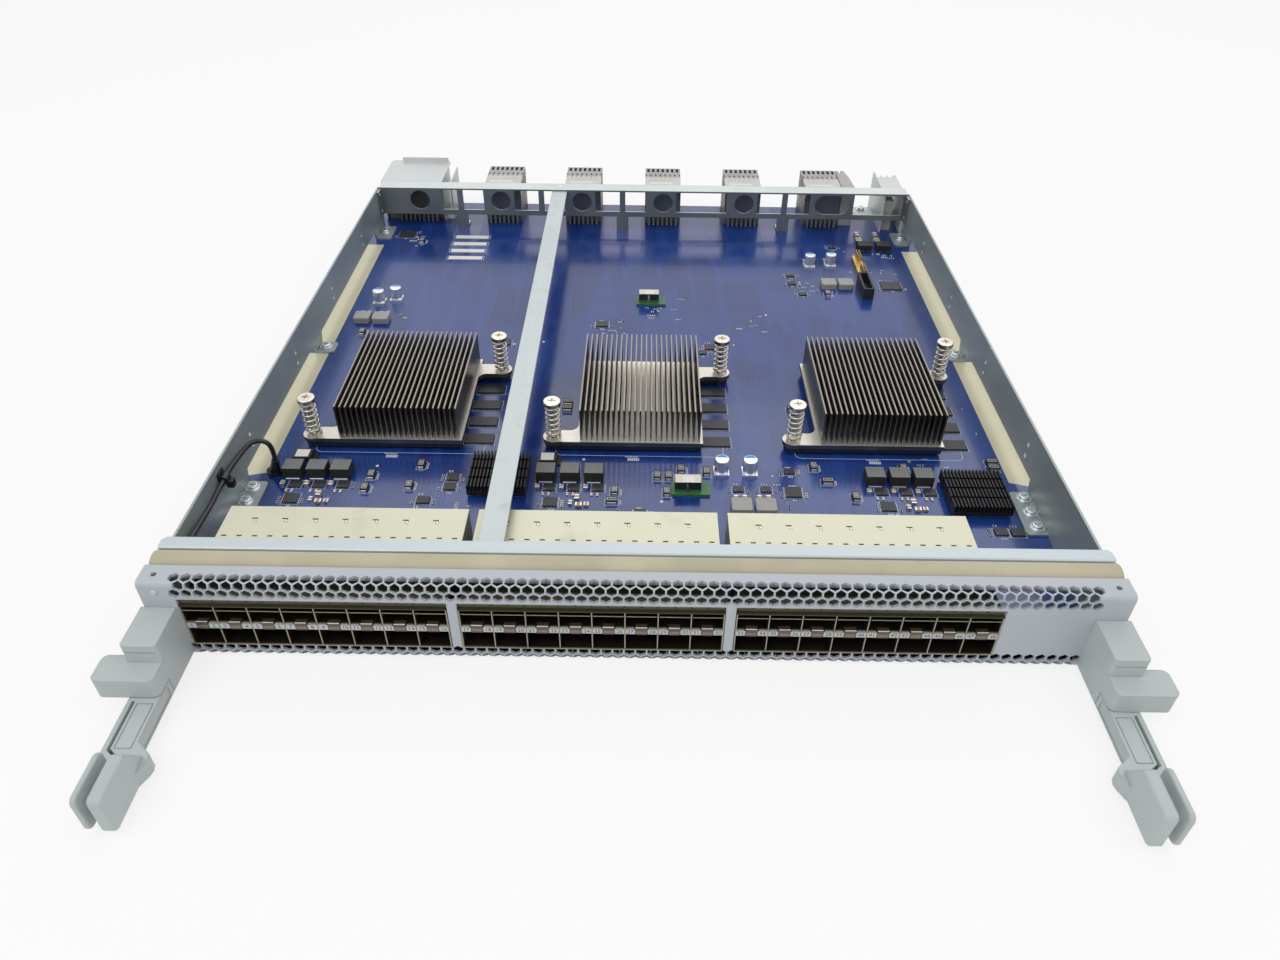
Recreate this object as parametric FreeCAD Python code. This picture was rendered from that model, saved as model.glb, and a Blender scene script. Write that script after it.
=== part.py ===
import FreeCAD, Part
import math
import os

# Switch line card, in millimetres.
# Helper frame of every function below: x to the right seen from the front, y back from the
# face of the front panel, z up from the top of the board. save() moves each finished piece
# into the part's own frame, whose origin is the middle of the footprint at the lowest level.

V = FreeCAD.Vector

# ---------------------------------------------------------------- driving sizes
# Front panel
CARD_W = 419.0            # panel from end to end
PANEL_H = 44.5            # one rack unit high
PANEL_T = 1.5             # panel sheet
PANEL_DROP = 7.4          # panel below the top of the board
PANEL_BEND_R = 2.4        # outer radius of the panel's front bends
TOP_FLANGE_D = 11.2       # flat top face behind the bend
BOTTOM_FLANGE_D = 12.0    # flange under the panel
RETURN_D = 26.0           # side returns that carry the walls
COVER_SCREW_R = 1.25      # threaded holes for a cover, on the top face
COVER_SCREW_INSET = 6.0   # from each end of the panel
COVER_SCREW_Y = 5.5
# Honeycomb vents of the panel
HEX_PITCH = 5.05
HEX_AF = 4.3              # across flats
HEX_MARGIN = 12.4         # plain sheet at each end of a row
HEX_ROW_IN = 5.9          # from the top bend to the row in the flat face
HEX_ROW_IN_LOW = 5.6      # from the lower bend to the row in the flat face
HEX_ROW_TOP_Y = 3.9       # row in the top face
HEX_ROW_LOW_Y = 4.2       # row in the flange under the panel
HEX_BEND_TOP = (1.0, 2.0, 0.46)    # row in the top bend: y, depth under the top, slope
HEX_BEND_LOW = (1.13, 1.85, 0.52)  # row in the lower bend: y, height over the edge, slope
HEX_BEND_SHARE = 0.88     # size of the holes in the bends
# Frame
FRAME_H = 31.7            # walls, above the board
SHEET_T = 1.2             # walls, bulkhead and brace
WALL_INSET = 0.7          # walls inside the panel's ends
WALL_CLEAR = 8.2          # air slot between board and wall
WALL_FRONT_Y = 2.0
FOOT_W = 10.5             # feet of the walls on the board
CORNER_FOOT_Y = 78.0
CORNER_FOOT_L = 34.0
MID_FOOT_Y = 244.0
MID_FOOT_L = 12.0
REAR_FOOT_L = 22.0
REAR_FOOT_BACK = 3.5      # from the bulkhead
SLOT_CHAMFER = 5.0        # sloping ends of the wall's feet
WALL_HOLE_R = 1.5
WALL_HOLE_Z = 13.7
WALL_HOLE_RISE = 7.0
WALL_HOLE_Y = 128.0
WALL_HOLE_STEP = 82.6
FIT = 0.1                 # air between sheet pieces
# Rail and gaskets on the panel
RAIL_D = 7.3
RAIL_CROWN = 0.6
GASKET_W = 10.4
GASKET_H = 6.0
GASKET_AIR = 0.3
SIDE_GASKET_D = 6.0
SIDE_GASKET_BULGE = 2.4
SIDE_GASKET_Y = 3.0
SIDE_GASKET_LOW = 5.0     # below the board's top
# Board
BOARD_D = 484.5
BOARD_T = 2.4
BOARD_SETBACK = 3.0       # behind the panel's face
BOARD_CORNER_R = 2.0
GUIDE_EDGE_HALF = 213.2     # half width over the bare edges that run in the card guides
GUIDE_EDGE_Y = 30.0         # where the bare edges start
# Port cages
CAGES = 3
COLUMNS = 8
PORT_PITCH = 14.25
CAGE_GAP = 4.9            # between neighbouring cages
CAGE_LEFT = 14.8          # panel's left end to the first cage
CAGE_D = 65.3
CAGE_H = 24.0
CAGE_T = 0.5
CAGE_PROUD = 0.3          # cage in front of the panel
CAGE_FLOOR_T = 0.4
CAGE_SEAM_Y = 44.0
WINDOW_AIR = 0.3
WINDOW_ABOVE = 3.6        # window above the cage
SHELF_LOW = 10.2          # middle band between the two rows of ports
SHELF_H = 3.6
SOCKET_D = 18.5
SOCKET_NOSE = 6.0
SPRING_T = 0.4
SPRING_FOOT = 9.0
# Heat sinks on the switch chips
SINKS = 3
SINK_PITCH = 134.0
SINK_MID_X = 0.6          # middle heat sink, from the centre line
SINK_Y = 143.0            # front edge of the base
SINK_BASE_D = 85.0
SINK_BASE_W = 70.0
SINK_BASE_T = 2.6
SINK_FIN_SETBACK = 2.0
SINK_FIN_D = 82.0
SINK_FIN_H = 20.0
SINK_FINS = 23
SINK_FIN_PITCH = 3.0
SINK_FIN_T = 0.8
SINK_EAR_X = 48.3         # ear screws, from the sink's centre
SINK_EAR_R = 6.0
SINK_EAR_FRONT = 5.5      # front ear screw, from the base's front edge
SINK_EAR_BACK = 11.0      # rear ear screw, from the base's back edge
CHIP_W = 45.0
PAD_INSET = 1.0           # black pad under the base, inside its outline
PAD_LOW = 1.3             # pad above the board
CHIP_H = 4.4              # switch chip with its lid
CHIP_SUBSTRATE_T = 1.4
CHIP_LID_INSET = 4.0
SCREW_HEAD_R = 4.8
SCREW_HEAD_H = 2.6
SCREW_SHANK_R = 1.6
SCREW_SPRING_H = 21.4     # spring between ear and head
SPRING_COIL_R = 3.6
SPRING_WIRE_R = 0.75
SPRING_TURNS = 6
STANDOFF_R = 3.0
MEMORY_W = 16.0
MEMORY_D = 8.4
MEMORY_H = 1.2
MEMORY_STEP = 16.9
MEMORY_X = 42.9           # from the sink's centre
MEMORY_BACK = 24.0        # rearmost chip, from the base's back edge
MEMORY_ROWS = 4
# Small black heat sinks
PIN_SINK_W = 31.0
PIN_SINK_CHIP_H = 1.5
PIN_SINK_BASE_T = 1.6
PIN_SINK_H = 4.4          # fins above the base
PIN_SINK_FINS = 17
PIN_SINK_FIN_T = 0.9
PIN_SINK_GROOVES = 3
PIN_SINK_GROOVE = 1.3
PIN_SINK_LEFT = (58.9, 118.0)     # left of the brace's side: x from the left sink, y
PIN_SINK_RIGHT = (43.4, 107.2)    # x from the right sink, y
# Rear bulkhead and connectors
BULKHEAD_IN = 48.0        # bulkhead in front of the board's rear edge
BULKHEAD_LOW = 10.4       # its lower edge, above the board
BULKHEAD_BAR_H = 4.0      # strip under the windows
BULKHEAD_LIP = 11.5       # lip bent to the back
REAR_PITCH = 64.0
REAR_MID_X = -16.4        # middle of the row of connector places
REAR_HOLE_R = 7.6
REAR_HOLE_Z = 22.0
OBLONG_W = 27.6
OBLONG_H = 15.2
PLATE_HALF = 13.6         # from a connector's middle to the plate's left edge
PLATE_RIGHT = 10.4        # and to its right edge
END_PLATE_HALF = 17.4     # half width of the plate at the outer places
COLUMN_W = 4.4
END_FLANGE_D = 8.0        # flanges of the bulkhead along the walls
RIVET_R = 1.7
RIVET_H = 0.5
COLUMN_FOOT_W = 9.4
COLUMN_FOOT_D = 9.0
CONNECTOR_W = 28.4
CONNECTOR_H = 30.0
CONNECTOR_PROUD = 4.4     # past the board's rear edge
CONNECTOR_HOUSING_D = 16.5
CONNECTOR_BODY_D = 23.0
WAFERS = 7
WAFER_NOTCH = 3.9         # pitch of the notches across the top
CONTACT_SLOT = 2.0
RIB_GROOVE = 1.2          # sloping grooves in the sides
LEAD_COMB_H = 6.4
LEAD_COMB_D = 4.6
LEAD_COMB_PITCH = 3.6
GUIDE_W = 10.6
COVER_W = 48.4
COVER_D = 46.0
COVER_T = 1.0
COVER_LIP = 3.9
COVER_LIP_BACK = 4.2      # lip in front of the cover's rear edge
COVER_LIP_LEFT = 9.5      # lip inside the cover's left edge
GUIDE_GAP = 6.0           # from the cover's side to the guide plate beside it
POWER_AIR = 1.0           # power block to cover
POWER_H = 27.0
POWER_LEADS = 9
BRACKET_W = 16.6
BRACKET_D = 40.0
BRACKET_FOOT_W = 15.0
RECEPTACLE_W = 8.0
# Centre brace
BRACE_W = 11.6
BRACE_X = -65.8
# Small parts on the board
INDUCTOR_W = 10.2
INDUCTOR_D = 9.0
INDUCTOR_H = 6.7
INDUCTOR_STEP = 12.9
INDUCTOR_FOOT = 0.3
MODULE_W = 9.6
MODULE_D = 8.0
MODULE_H = 3.4
CONVERTER_W = 20.4
CONVERTER_D = 10.8
CONVERTER_T = 1.5
CONVERTER_BLOCK_H = 6.7
CAN_R = 3.9
CAN_H = 9.7
CAN_BASE_H = 1.4
FLAT_W = 10.6
FLAT_D = 10.2
FLAT_H = 3.8
CHIP_BODY_H = 1.1
TANTALUM_L = 5.8
TANTALUM_W = 3.6
TANTALUM_H = 2.5
TRANSISTOR_W = 11.0
TRANSISTOR_H = 4.4
HEADER_W = 6.0
HEADER_L = 38.0
HEADER_BASE_H = 2.5
HEADER_PIN_H = 8.5
HEADER_PIN_R = 0.4
HEADER_PITCH = 2.0
SHROUD_W = 7.6
SHROUD_L = 26.0
SHROUD_H = 8.5
LABEL_W = 25.6
LABEL_D = 5.0
LABEL_T = 0.2
# Board screws
BOARD_SCREW_R = 1.5
BOARD_SCREW_HEAD_R = 2.9
BOARD_SCREW_HEAD_H = 1.9
WASHER_R = 3.9
WASHER_T = 0.6
# Indicator lead
LIGHT_R = 1.5
LIGHT_X = 6.5             # from the panel's left end
LIGHT_Z = 31.7
LIGHT_PROUD = 0.5
LIGHT_BODY_W = 6.0
LIGHT_BODY_D = 7.4
LEAD_D = 2.6
LEAD_PLUG_R = 4.2
LEAD_PLUG_H = 2.2
LEAD_BOOT_R = 3.0
# Ejectors, one at each end of the panel
BODY_W = 15.0             # block across the panel
BODY_OVER = 1.5           # block past the panel's end
BODY_TOP = 23.0
BODY_BOTTOM = -4.7
BODY_D = 22.3
LUG_TOP = 13.3
LUG_BOTTOM = 3.2
LUG_D = 32.4
LUG_OUT = 11.0            # lug past the block
LUG_LEN = 14.0
LUG_CORNER_R = 3.0
LEVER_AIR = 0.3           # lever to body, above and below
LEVER_T = 7.6
LEVER_W = 12.7
LEVER_ROOT_R = 5.6
CHEEK_T = 1.6
PIVOT_BACK = 11.2         # pivot in front of the panel's face
PIVOT_R = 2.0
PIVOT_FIT = 0.05
ARM_END = 58.4
JAW_REACH = 18.2          # jaw from the pivot, sideways
JAW_FRONT = 6.8           # jaw's front side, from the pivot
JAW_D = 7.4
JAW_CORNER_R = 2.5
GRIP_Y0 = 60.0            # grip block, in front of the panel's face
GRIP_Y1 = 88.5
GRIP_SHIFT = 4.9          # grip stands further in than the arm
GRIP_T = 5.6
GRIP_TOP = 15.5
GRIP_SLOPE = 8.0
GRIP_ROUND = 2.6          # corners of the grip, seen from the side
GRIP_EDGE_R = 1.1         # its long edges
NECK_BULGE = 2.4          # rounded swelling of the neck past the grip
SLIT_W = 1.3
SLIT_IN = 1.9             # from the arm's outer edge
TOP_GROOVE = 0.35         # line round the plain field on the arm
SLIT_DEEP = 5.0
TRIGGER_T = 2.4
TRIGGER_GAP = 4.2
TRIGGER_STEM_T = 8.0
TRIGGER_Y0 = 65.4
TRIGGER_ROUND = 3.2
TRIGGER_EDGE_R = 0.9
TRIGGER_TRAVEL = 3.4
TRIGGER_AIR = 0.3

# ---------------------------------------------------------------- sizes that follow
HALF_W = CARD_W / 2
PANEL_TOP = PANEL_H - PANEL_DROP
PANEL_LOW = -PANEL_DROP
SHELF_UNDER = FRAME_H - SHEET_T
SHELF_TOP = SHELF_UNDER + PANEL_T
WALL_OUT = HALF_W - WALL_INSET
WALL_IN = WALL_OUT - SHEET_T
BOARD_HALF = WALL_IN - FIT
BOARD_BACK = BOARD_SETBACK + BOARD_D
GASKET_Y = TOP_FLANGE_D + GASKET_AIR
RAIL_Y = GASKET_Y + GASKET_W + GASKET_AIR
RAIL_BACK = RAIL_Y + RAIL_D
SHELF_BACK = RAIL_BACK + PANEL_T
BULKHEAD_Y = BOARD_BACK - BULKHEAD_IN
CAGE_W = COLUMNS * PORT_PITCH
CAGE_STEP = CAGE_W + CAGE_GAP
SINK_BASE_TOP = CHIP_H + SINK_BASE_T
SINK_TOP = SINK_BASE_TOP + SINK_FIN_H
SINK_BACK = SINK_Y + SINK_BASE_D
CONNECTOR_BACK = BOARD_BACK + CONNECTOR_PROUD
COVER_BACK = BULKHEAD_Y + SHEET_T + BULKHEAD_LIP + COVER_D
BODY_OUT = HALF_W + BODY_OVER
BODY_IN = BODY_OUT - BODY_W
LUG_END = BODY_OUT + LUG_OUT
LEVER_TOP = LUG_BOTTOM - LEVER_AIR
LEVER_LOW = LEVER_TOP - LEVER_T
PIVOT_X = BODY_OUT - BODY_W / 2
ARM_IN = BODY_IN
ARM_OUT = ARM_IN + LEVER_W
GRIP_IN = ARM_IN - GRIP_SHIFT
GRIP_OUT = GRIP_IN + GRIP_T
TRIGGER_IN = GRIP_OUT + TRIGGER_GAP
TRIGGER_OUT = TRIGGER_IN + TRIGGER_T
FRONT_REACH = GRIP_Y1
REAR_REACH = COVER_BACK
FRAME_SHIFT = V(0, (FRONT_REACH - REAR_REACH) / 2, PANEL_DROP)
BIG = 1000.0


# ---------------------------------------------------------------- shape helpers
def box(x0, x1, y0, y1, z0, z1):
    return Part.makeBox(x1 - x0, y1 - y0, z1 - z0, V(x0, y0, z0))


def cylinder(x, y, z0, z1, r):
    return Part.makeCylinder(r, z1 - z0, V(x, y, z0))


def cylinder_y(x, z, y0, y1, r):
    return Part.makeCylinder(r, y1 - y0, V(x, y0, z), V(0, 1, 0))


def cylinder_x(y, z, x0, x1, r):
    return Part.makeCylinder(r, x1 - x0, V(x0, y, z), V(1, 0, 0))


def fuse(shapes):
    whole = shapes[0]
    if len(shapes) > 1:
        whole = whole.fuse(shapes[1:])
    return whole.removeSplitter()


def cut(shape, tools):
    return shape.cut(Part.makeCompound(tools))


def group(shapes):
    return Part.makeCompound(shapes)


def plate_z(points, z0, z1):
    """Flat plate from an outline of (x, y) points."""
    face = Part.Face(Part.makePolygon([V(x, y, z0) for x, y in points + points[:1]]))
    return face.extrude(V(0, 0, z1 - z0))


def plate_x(points, x0, x1):
    """Flat plate from an outline of (y, z) points."""
    face = Part.Face(Part.makePolygon([V(x0, y, z) for y, z in points + points[:1]]))
    return face.extrude(V(x1 - x0, 0, 0))


def round_edges(shape, radius, wanted):
    """Rounds the edges for which wanted(edge) holds."""
    edges = [edge for edge in shape.Edges if wanted(edge)]
    return shape.makeFillet(radius, edges) if edges else shape


def is_upright(edge):
    first, last = edge.Vertexes[0].Point, edge.Vertexes[-1].Point
    return len(edge.Vertexes) == 2 and abs(first.x - last.x) + abs(first.y - last.y) < 1e-6


def near_point(edge, x, y, reach):
    middle = edge.CenterOfMass
    return math.hypot(middle.x - x, middle.y - y) < reach


def round_uprights(shape, radius, corners, reach=0.5):
    """Rounds the upright edges that stand at the given (x, y) corners."""
    def wanted(edge):
        return is_upright(edge) and any(near_point(edge, x, y, reach) for x, y in corners)
    return round_edges(shape, radius, wanted)


def rounded_box(x0, x1, y0, y1, z0, z1, radius):
    return round_edges(box(x0, x1, y0, y1, z0, z1), radius, is_upright)


def hex_prism(centre, along, length, share=1.0):
    """Hexagonal cutter with two flats square to x, centred on its middle."""
    along = V(*along).normalize()
    side = V(1, 0, 0)
    up = along.cross(side)
    ring = []
    for k in range(6):
        angle = math.radians(60 * k + 30)
        reach = HEX_AF / 2 / math.cos(math.radians(30))
        ring.append(side * (reach * math.cos(angle)) + up * (share * reach * math.sin(angle)))
    start = V(*centre) - along * (length / 2)
    points = [start + point for point in ring]
    return Part.Face(Part.makePolygon(points + points[:1])).extrude(along * length)


def mirrored(shape):
    return shape.mirror(V(0, 0, 0), V(1, 0, 0))


def save(name, shape):
    moved = shape.copy()
    moved.translate(FRAME_SHIFT)
    moved.exportStep(os.path.join("parts", name + ".step"))


# ---------------------------------------------------------------- places that repeat
def cage_x(index):
    return -HALF_W + CAGE_LEFT + index * CAGE_STEP


def sink_x(index):
    return SINK_MID_X + (index - (SINKS - 1) / 2) * SINK_PITCH


def rear_x(index):
    """Connector places 0 to 5, from the left; 0 is the power place, 5 the wide one."""
    return REAR_MID_X + (index - 2.5) * REAR_PITCH


def sink_screws(index):
    x = sink_x(index)
    return [(x - SINK_EAR_X, SINK_Y + SINK_EAR_FRONT), (x + SINK_EAR_X, SINK_BACK - SINK_EAR_BACK)]


def foot_screws():
    """Screws of the wall feet on one side, as (x, y) with x positive."""
    x = WALL_IN - FOOT_W / 2 + 1.2
    step = CORNER_FOOT_L / 3
    corner = [(x, CORNER_FOOT_Y + step * (k + 0.5)) for k in range(3)]
    middle = [(x, MID_FOOT_Y + MID_FOOT_L / 2)]
    rear = [(x, BULKHEAD_Y - REAR_FOOT_BACK - REAR_FOOT_L / 2)]
    return corner + middle + rear


def column_places():
    """Left edges of the bulkhead's columns that stand on the board."""
    return [(rear_x(i) + rear_x(i + 1)) / 2 - COLUMN_W / 2 for i in (0, 2, 4)]


def column_screws():
    y = BULKHEAD_Y + SHEET_T + COLUMN_FOOT_D * 0.55
    return [(x + COLUMN_W / 2, y) for x in column_places()]


def bracket_x():
    return WALL_IN - FOOT_W - BRACKET_W + 9.2


def bracket_screw():
    return (bracket_x() - BRACKET_FOOT_W / 2, BOARD_BACK - 6.0)


# ---------------------------------------------------------------- front panel
def panel_profile():
    """Section of the folded sheet, as (y, z) points around it."""
    t = PANEL_T
    step_y = TOP_FLANGE_D
    outer = [
        (BOTTOM_FLANGE_D, PANEL_LOW),
        (0, PANEL_LOW),
        (0, PANEL_TOP),
        (step_y, PANEL_TOP),
        (step_y, SHELF_TOP),
        (SHELF_BACK, SHELF_TOP),
    ]
    inner = [
        (SHELF_BACK, SHELF_UNDER),
        (step_y - t, SHELF_UNDER),
        (step_y - t, PANEL_TOP - t),
        (t, PANEL_TOP - t),
        (t, PANEL_LOW + t),
        (BOTTOM_FLANGE_D, PANEL_LOW + t),
    ]
    return outer + inner


def panel_bends(shape):
    def at_bend(edge, y, z):
        middle = edge.CenterOfMass
        return abs(middle.y - y) < 0.01 and abs(middle.z - z) < 0.01

    def is_outer(edge):
        return at_bend(edge, 0, PANEL_TOP) or at_bend(edge, 0, PANEL_LOW)

    def is_inner(edge):
        high = at_bend(edge, PANEL_T, PANEL_TOP - PANEL_T)
        return high or at_bend(edge, PANEL_T, PANEL_LOW + PANEL_T)

    shape = round_edges(shape, PANEL_BEND_R - PANEL_T, is_inner)
    return round_edges(shape, PANEL_BEND_R, is_outer)


def hex_row(y, z, along, shifted, share=1.0):
    count = int((CARD_W - 2 * HEX_MARGIN) / HEX_PITCH) - (1 if shifted else 0)
    first = -HEX_PITCH * (count - 1) / 2
    depth = 4 * PANEL_T
    places = [(first + k * HEX_PITCH, y, z) for k in range(count)]
    return [hex_prism(place, along, depth, share) for place in places]


def honeycomb():
    """Rows of holes that don't meet, one list for each cut."""
    flat = hex_row(HEX_ROW_TOP_Y, PANEL_TOP, (0, 0, 1), False)
    flat += hex_row(0, PANEL_TOP - HEX_ROW_IN, (0, 1, 0), False)
    flat += hex_row(0, PANEL_LOW + HEX_ROW_IN_LOW, (0, 1, 0), False)
    under = hex_row(HEX_ROW_LOW_Y, PANEL_LOW, (0, 0, 1), False)
    y, depth, slope = HEX_BEND_TOP
    bends = hex_row(y, PANEL_TOP - depth, (0, 1, -slope), True, HEX_BEND_SHARE)
    y, depth, slope = HEX_BEND_LOW
    bends += hex_row(y, PANEL_LOW + depth, (0, 1, slope), True, HEX_BEND_SHARE)
    return [flat, under, bends]


def port_window(index):
    x0 = cage_x(index) - WINDOW_AIR
    x1 = cage_x(index) + CAGE_W + WINDOW_AIR
    return box(x0, x1, -1, PANEL_T + 1, -WINDOW_AIR, CAGE_H + WINDOW_ABOVE)


def cover_screw_places():
    x = HALF_W - COVER_SCREW_INSET
    return [(-x, COVER_SCREW_Y), (x, COVER_SCREW_Y)]


def side_return(x0, x1):
    y1 = PANEL_T + RETURN_D
    return box(x0, x1, PANEL_T, y1, WINDOW_AIR, SHELF_UNDER)


def front_panel():
    sheet = panel_bends(plate_x(panel_profile(), -HALF_W, HALF_W))
    shelf_edge = WALL_IN - FIT
    notch_low = PANEL_LOW + PANEL_T + PANEL_BEND_R
    notches = []
    for x0, x1 in ((-BIG, -shelf_edge), (shelf_edge, BIG)):
        notches.append(box(x0, x1, TOP_FLANGE_D - PANEL_T - FIT, BIG, notch_low, SHELF_TOP + FIT))
    sheet = cut(sheet, notches)
    returns = [side_return(-shelf_edge, -shelf_edge + PANEL_T)]
    returns.append(side_return(shelf_edge - PANEL_T, shelf_edge))
    sheet = fuse([sheet] + returns)
    for row in honeycomb():
        sheet = cut(sheet, row)
    tools = [port_window(index) for index in range(CAGES)]
    tools.append(cylinder_y(-HALF_W + LIGHT_X, LIGHT_Z, -1, PANEL_T + 1, LIGHT_R + FIT))
    for x, y in cover_screw_places():
        tools.append(cylinder(x, y, SHELF_TOP, PANEL_TOP + 1, COVER_SCREW_R))
    return cut(sheet, tools)


def panel_top_rail():
    z_side = PANEL_TOP - RAIL_CROWN
    crown = RAIL_CROWN
    profile = [
        (RAIL_Y, SHELF_TOP),
        (RAIL_BACK, SHELF_TOP),
        (RAIL_BACK, z_side),
        (RAIL_BACK - crown, PANEL_TOP),
        (RAIL_Y + crown, PANEL_TOP),
        (RAIL_Y, z_side),
    ]
    rail = plate_x(profile, -WALL_OUT, WALL_OUT)
    bevel = RAIL_D / 3
    corners = []
    for side in (-1, 1):
        x = side * WALL_OUT
        points = [(x, RAIL_BACK - bevel), (x, RAIL_BACK + 1), (x - side * (bevel + 1), RAIL_BACK + 1)]
        corners.append(plate_z(points, SHELF_TOP - 1, PANEL_TOP + 1))
    return cut(rail, corners)


def top_gasket():
    """D-shaped strip with a crowned top."""
    y0, y1 = GASKET_Y, GASKET_Y + GASKET_W
    z_side = SHELF_TOP + GASKET_H * 0.62
    crown = V(0, (y0 + y1) / 2, SHELF_TOP + GASKET_H)
    corner_0 = V(0, y0, SHELF_TOP)
    corner_1 = V(0, y1, SHELF_TOP)
    side_0 = V(0, y0, z_side)
    side_1 = V(0, y1, z_side)
    arc = Part.Arc(side_1, crown, side_0).toShape()
    edges = [Part.makeLine(corner_0, corner_1), Part.makeLine(corner_1, side_1), arc]
    edges.append(Part.makeLine(side_0, corner_0))
    face = Part.Face(Part.Wire(edges))
    strip = face.extrude(V(2 * (WALL_OUT - GASKET_AIR), 0, 0))
    strip.translate(V(-WALL_OUT + GASKET_AIR, 0, 0))
    return strip


def side_gaskets():
    """Upright D-shaped strips on the outside of the walls, behind the panel's ends."""
    y0, y1 = SIDE_GASKET_Y, SIDE_GASKET_Y + SIDE_GASKET_D
    low = V(WALL_OUT, y0, -SIDE_GASKET_LOW)
    high = V(WALL_OUT, y1, -SIDE_GASKET_LOW)
    crown = V(WALL_OUT + SIDE_GASKET_BULGE, (y0 + y1) / 2, -SIDE_GASKET_LOW)
    face = Part.Face(Part.Wire([Part.Arc(low, crown, high).toShape(), Part.makeLine(high, low)]))
    strip = face.extrude(V(0, 0, FRAME_H + SIDE_GASKET_LOW))
    return group([mirrored(strip), strip])


# ---------------------------------------------------------------- frame
def wall_outline():
    """Side view of a wall, as (y, z) points: feet reach the board, air slots between them."""
    clear, slope = WALL_CLEAR, SLOT_CHAMFER
    back = BULKHEAD_Y + SHEET_T
    corner_end = CORNER_FOOT_Y + CORNER_FOOT_L
    mid_end = MID_FOOT_Y + MID_FOOT_L
    rear_0 = BULKHEAD_Y - REAR_FOOT_BACK - REAR_FOOT_L
    return [
        (WALL_FRONT_Y, FRAME_H),
        (WALL_FRONT_Y, -SIDE_GASKET_LOW),
        (WALL_FRONT_Y + RETURN_D, -SIDE_GASKET_LOW),
        (WALL_FRONT_Y + RETURN_D, 0),
        (corner_end, 0),
        (corner_end + slope / 2, clear),
        (MID_FOOT_Y - slope / 2, clear),
        (MID_FOOT_Y, 0),
        (mid_end, 0),
        (mid_end + slope / 2, clear),
        (rear_0 - slope, clear),
        (rear_0, 0),
        (back, 0),
        (back, FRAME_H),
    ]


def wall_feet():
    spans = [(CORNER_FOOT_Y, CORNER_FOOT_L), (MID_FOOT_Y, MID_FOOT_L)]
    spans.append((BULKHEAD_Y - REAR_FOOT_BACK - REAR_FOOT_L, REAR_FOOT_L))
    feet = []
    for start, length in spans:
        x0 = WALL_IN - FOOT_W
        foot = box(x0, WALL_OUT, start, start + length, 0, SHEET_T)
        feet.append(round_uprights(foot, 2.0, [(x0, start), (x0, start + length)]))
    return feet


def side_wall():
    """Right wall; the left one is its mirror image."""
    wall = fuse([plate_x(wall_outline(), WALL_IN, WALL_OUT)] + wall_feet())
    holes = [cylinder(x, y, -1, SHEET_T + 1, BOARD_SCREW_R + FIT) for x, y in foot_screws()]
    y = WALL_HOLE_Y
    while y < BULKHEAD_Y - REAR_FOOT_L:
        for z in (WALL_HOLE_Z, WALL_HOLE_Z + WALL_HOLE_RISE):
            holes.append(cylinder_x(y, z, WALL_IN - 1, WALL_OUT + 1, WALL_HOLE_R))
        y += WALL_HOLE_STEP
    return cut(wall, holes)


def bulkhead_windows():
    """Open spans of the bulkhead, as (left, right) in x."""
    spans = []
    edge = rear_x(0) + END_PLATE_HALF
    for i in range(1, 5):
        spans.append((edge, rear_x(i) - PLATE_HALF))
        edge = rear_x(i) + PLATE_RIGHT
    spans.append((edge, rear_x(5) - PLATE_HALF + 1.8))
    spans.append((rear_x(5) + END_PLATE_HALF + 4.6, WALL_IN - FIT - SHEET_T - 1.6))
    return spans


def bulkhead_columns():
    columns = []
    for i in (0, 1, 2, 4):
        middle = (rear_x(i) + rear_x(i + 1)) / 2
        columns.append((middle - COLUMN_W / 2, middle + COLUMN_W / 2))
    return columns


def bulkhead_foot(x):
    """Column end that widens, reaches the board and turns back under it."""
    x0 = x + COLUMN_W / 2 - COLUMN_FOOT_W / 2
    x1 = x0 + COLUMN_FOOT_W
    leg = box(x0, x1, BULKHEAD_Y, BULKHEAD_Y + SHEET_T, 0, BULKHEAD_LOW + BULKHEAD_BAR_H)
    toe = box(x0, x1, BULKHEAD_Y, BULKHEAD_Y + SHEET_T + COLUMN_FOOT_D, 0, SHEET_T)
    return fuse([leg, toe])


def rear_bulkhead():
    half = WALL_IN - FIT
    y0, y1 = BULKHEAD_Y, BULKHEAD_Y + SHEET_T
    plate = box(-half, half, y0, y1, BULKHEAD_LOW, FRAME_H)
    sill = BULKHEAD_LOW + BULKHEAD_BAR_H
    openings = [box(a, b, y0 - 1, y1 + 1, sill, FRAME_H - SHEET_T) for a, b in bulkhead_windows()]
    plate = cut(plate, openings)
    posts = [box(a, b, y0, y1, sill - 1, FRAME_H - SHEET_T) for a, b in bulkhead_columns()]
    lip = box(-half, half, y0, y1 + BULKHEAD_LIP, FRAME_H - SHEET_T, FRAME_H)
    feet = [bulkhead_foot(x) for x in column_places()]
    plate = fuse([plate, lip] + posts + feet + end_flanges(half, y0))
    holes = [cylinder_y(rear_x(i), REAR_HOLE_Z, y0 - 1, y1 + 1, REAR_HOLE_R) for i in range(5)]
    holes.append(oblong_hole(rear_x(5) + 5.7, y0, y1))
    holes.append(brace_notch(y0, y1))
    holes.append(brace_screw_hole())
    for x, y in column_screws():
        holes.append(cylinder(x, y, -1, SHEET_T + 1, BOARD_SCREW_R + FIT))
    return cut(plate, holes)


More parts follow.
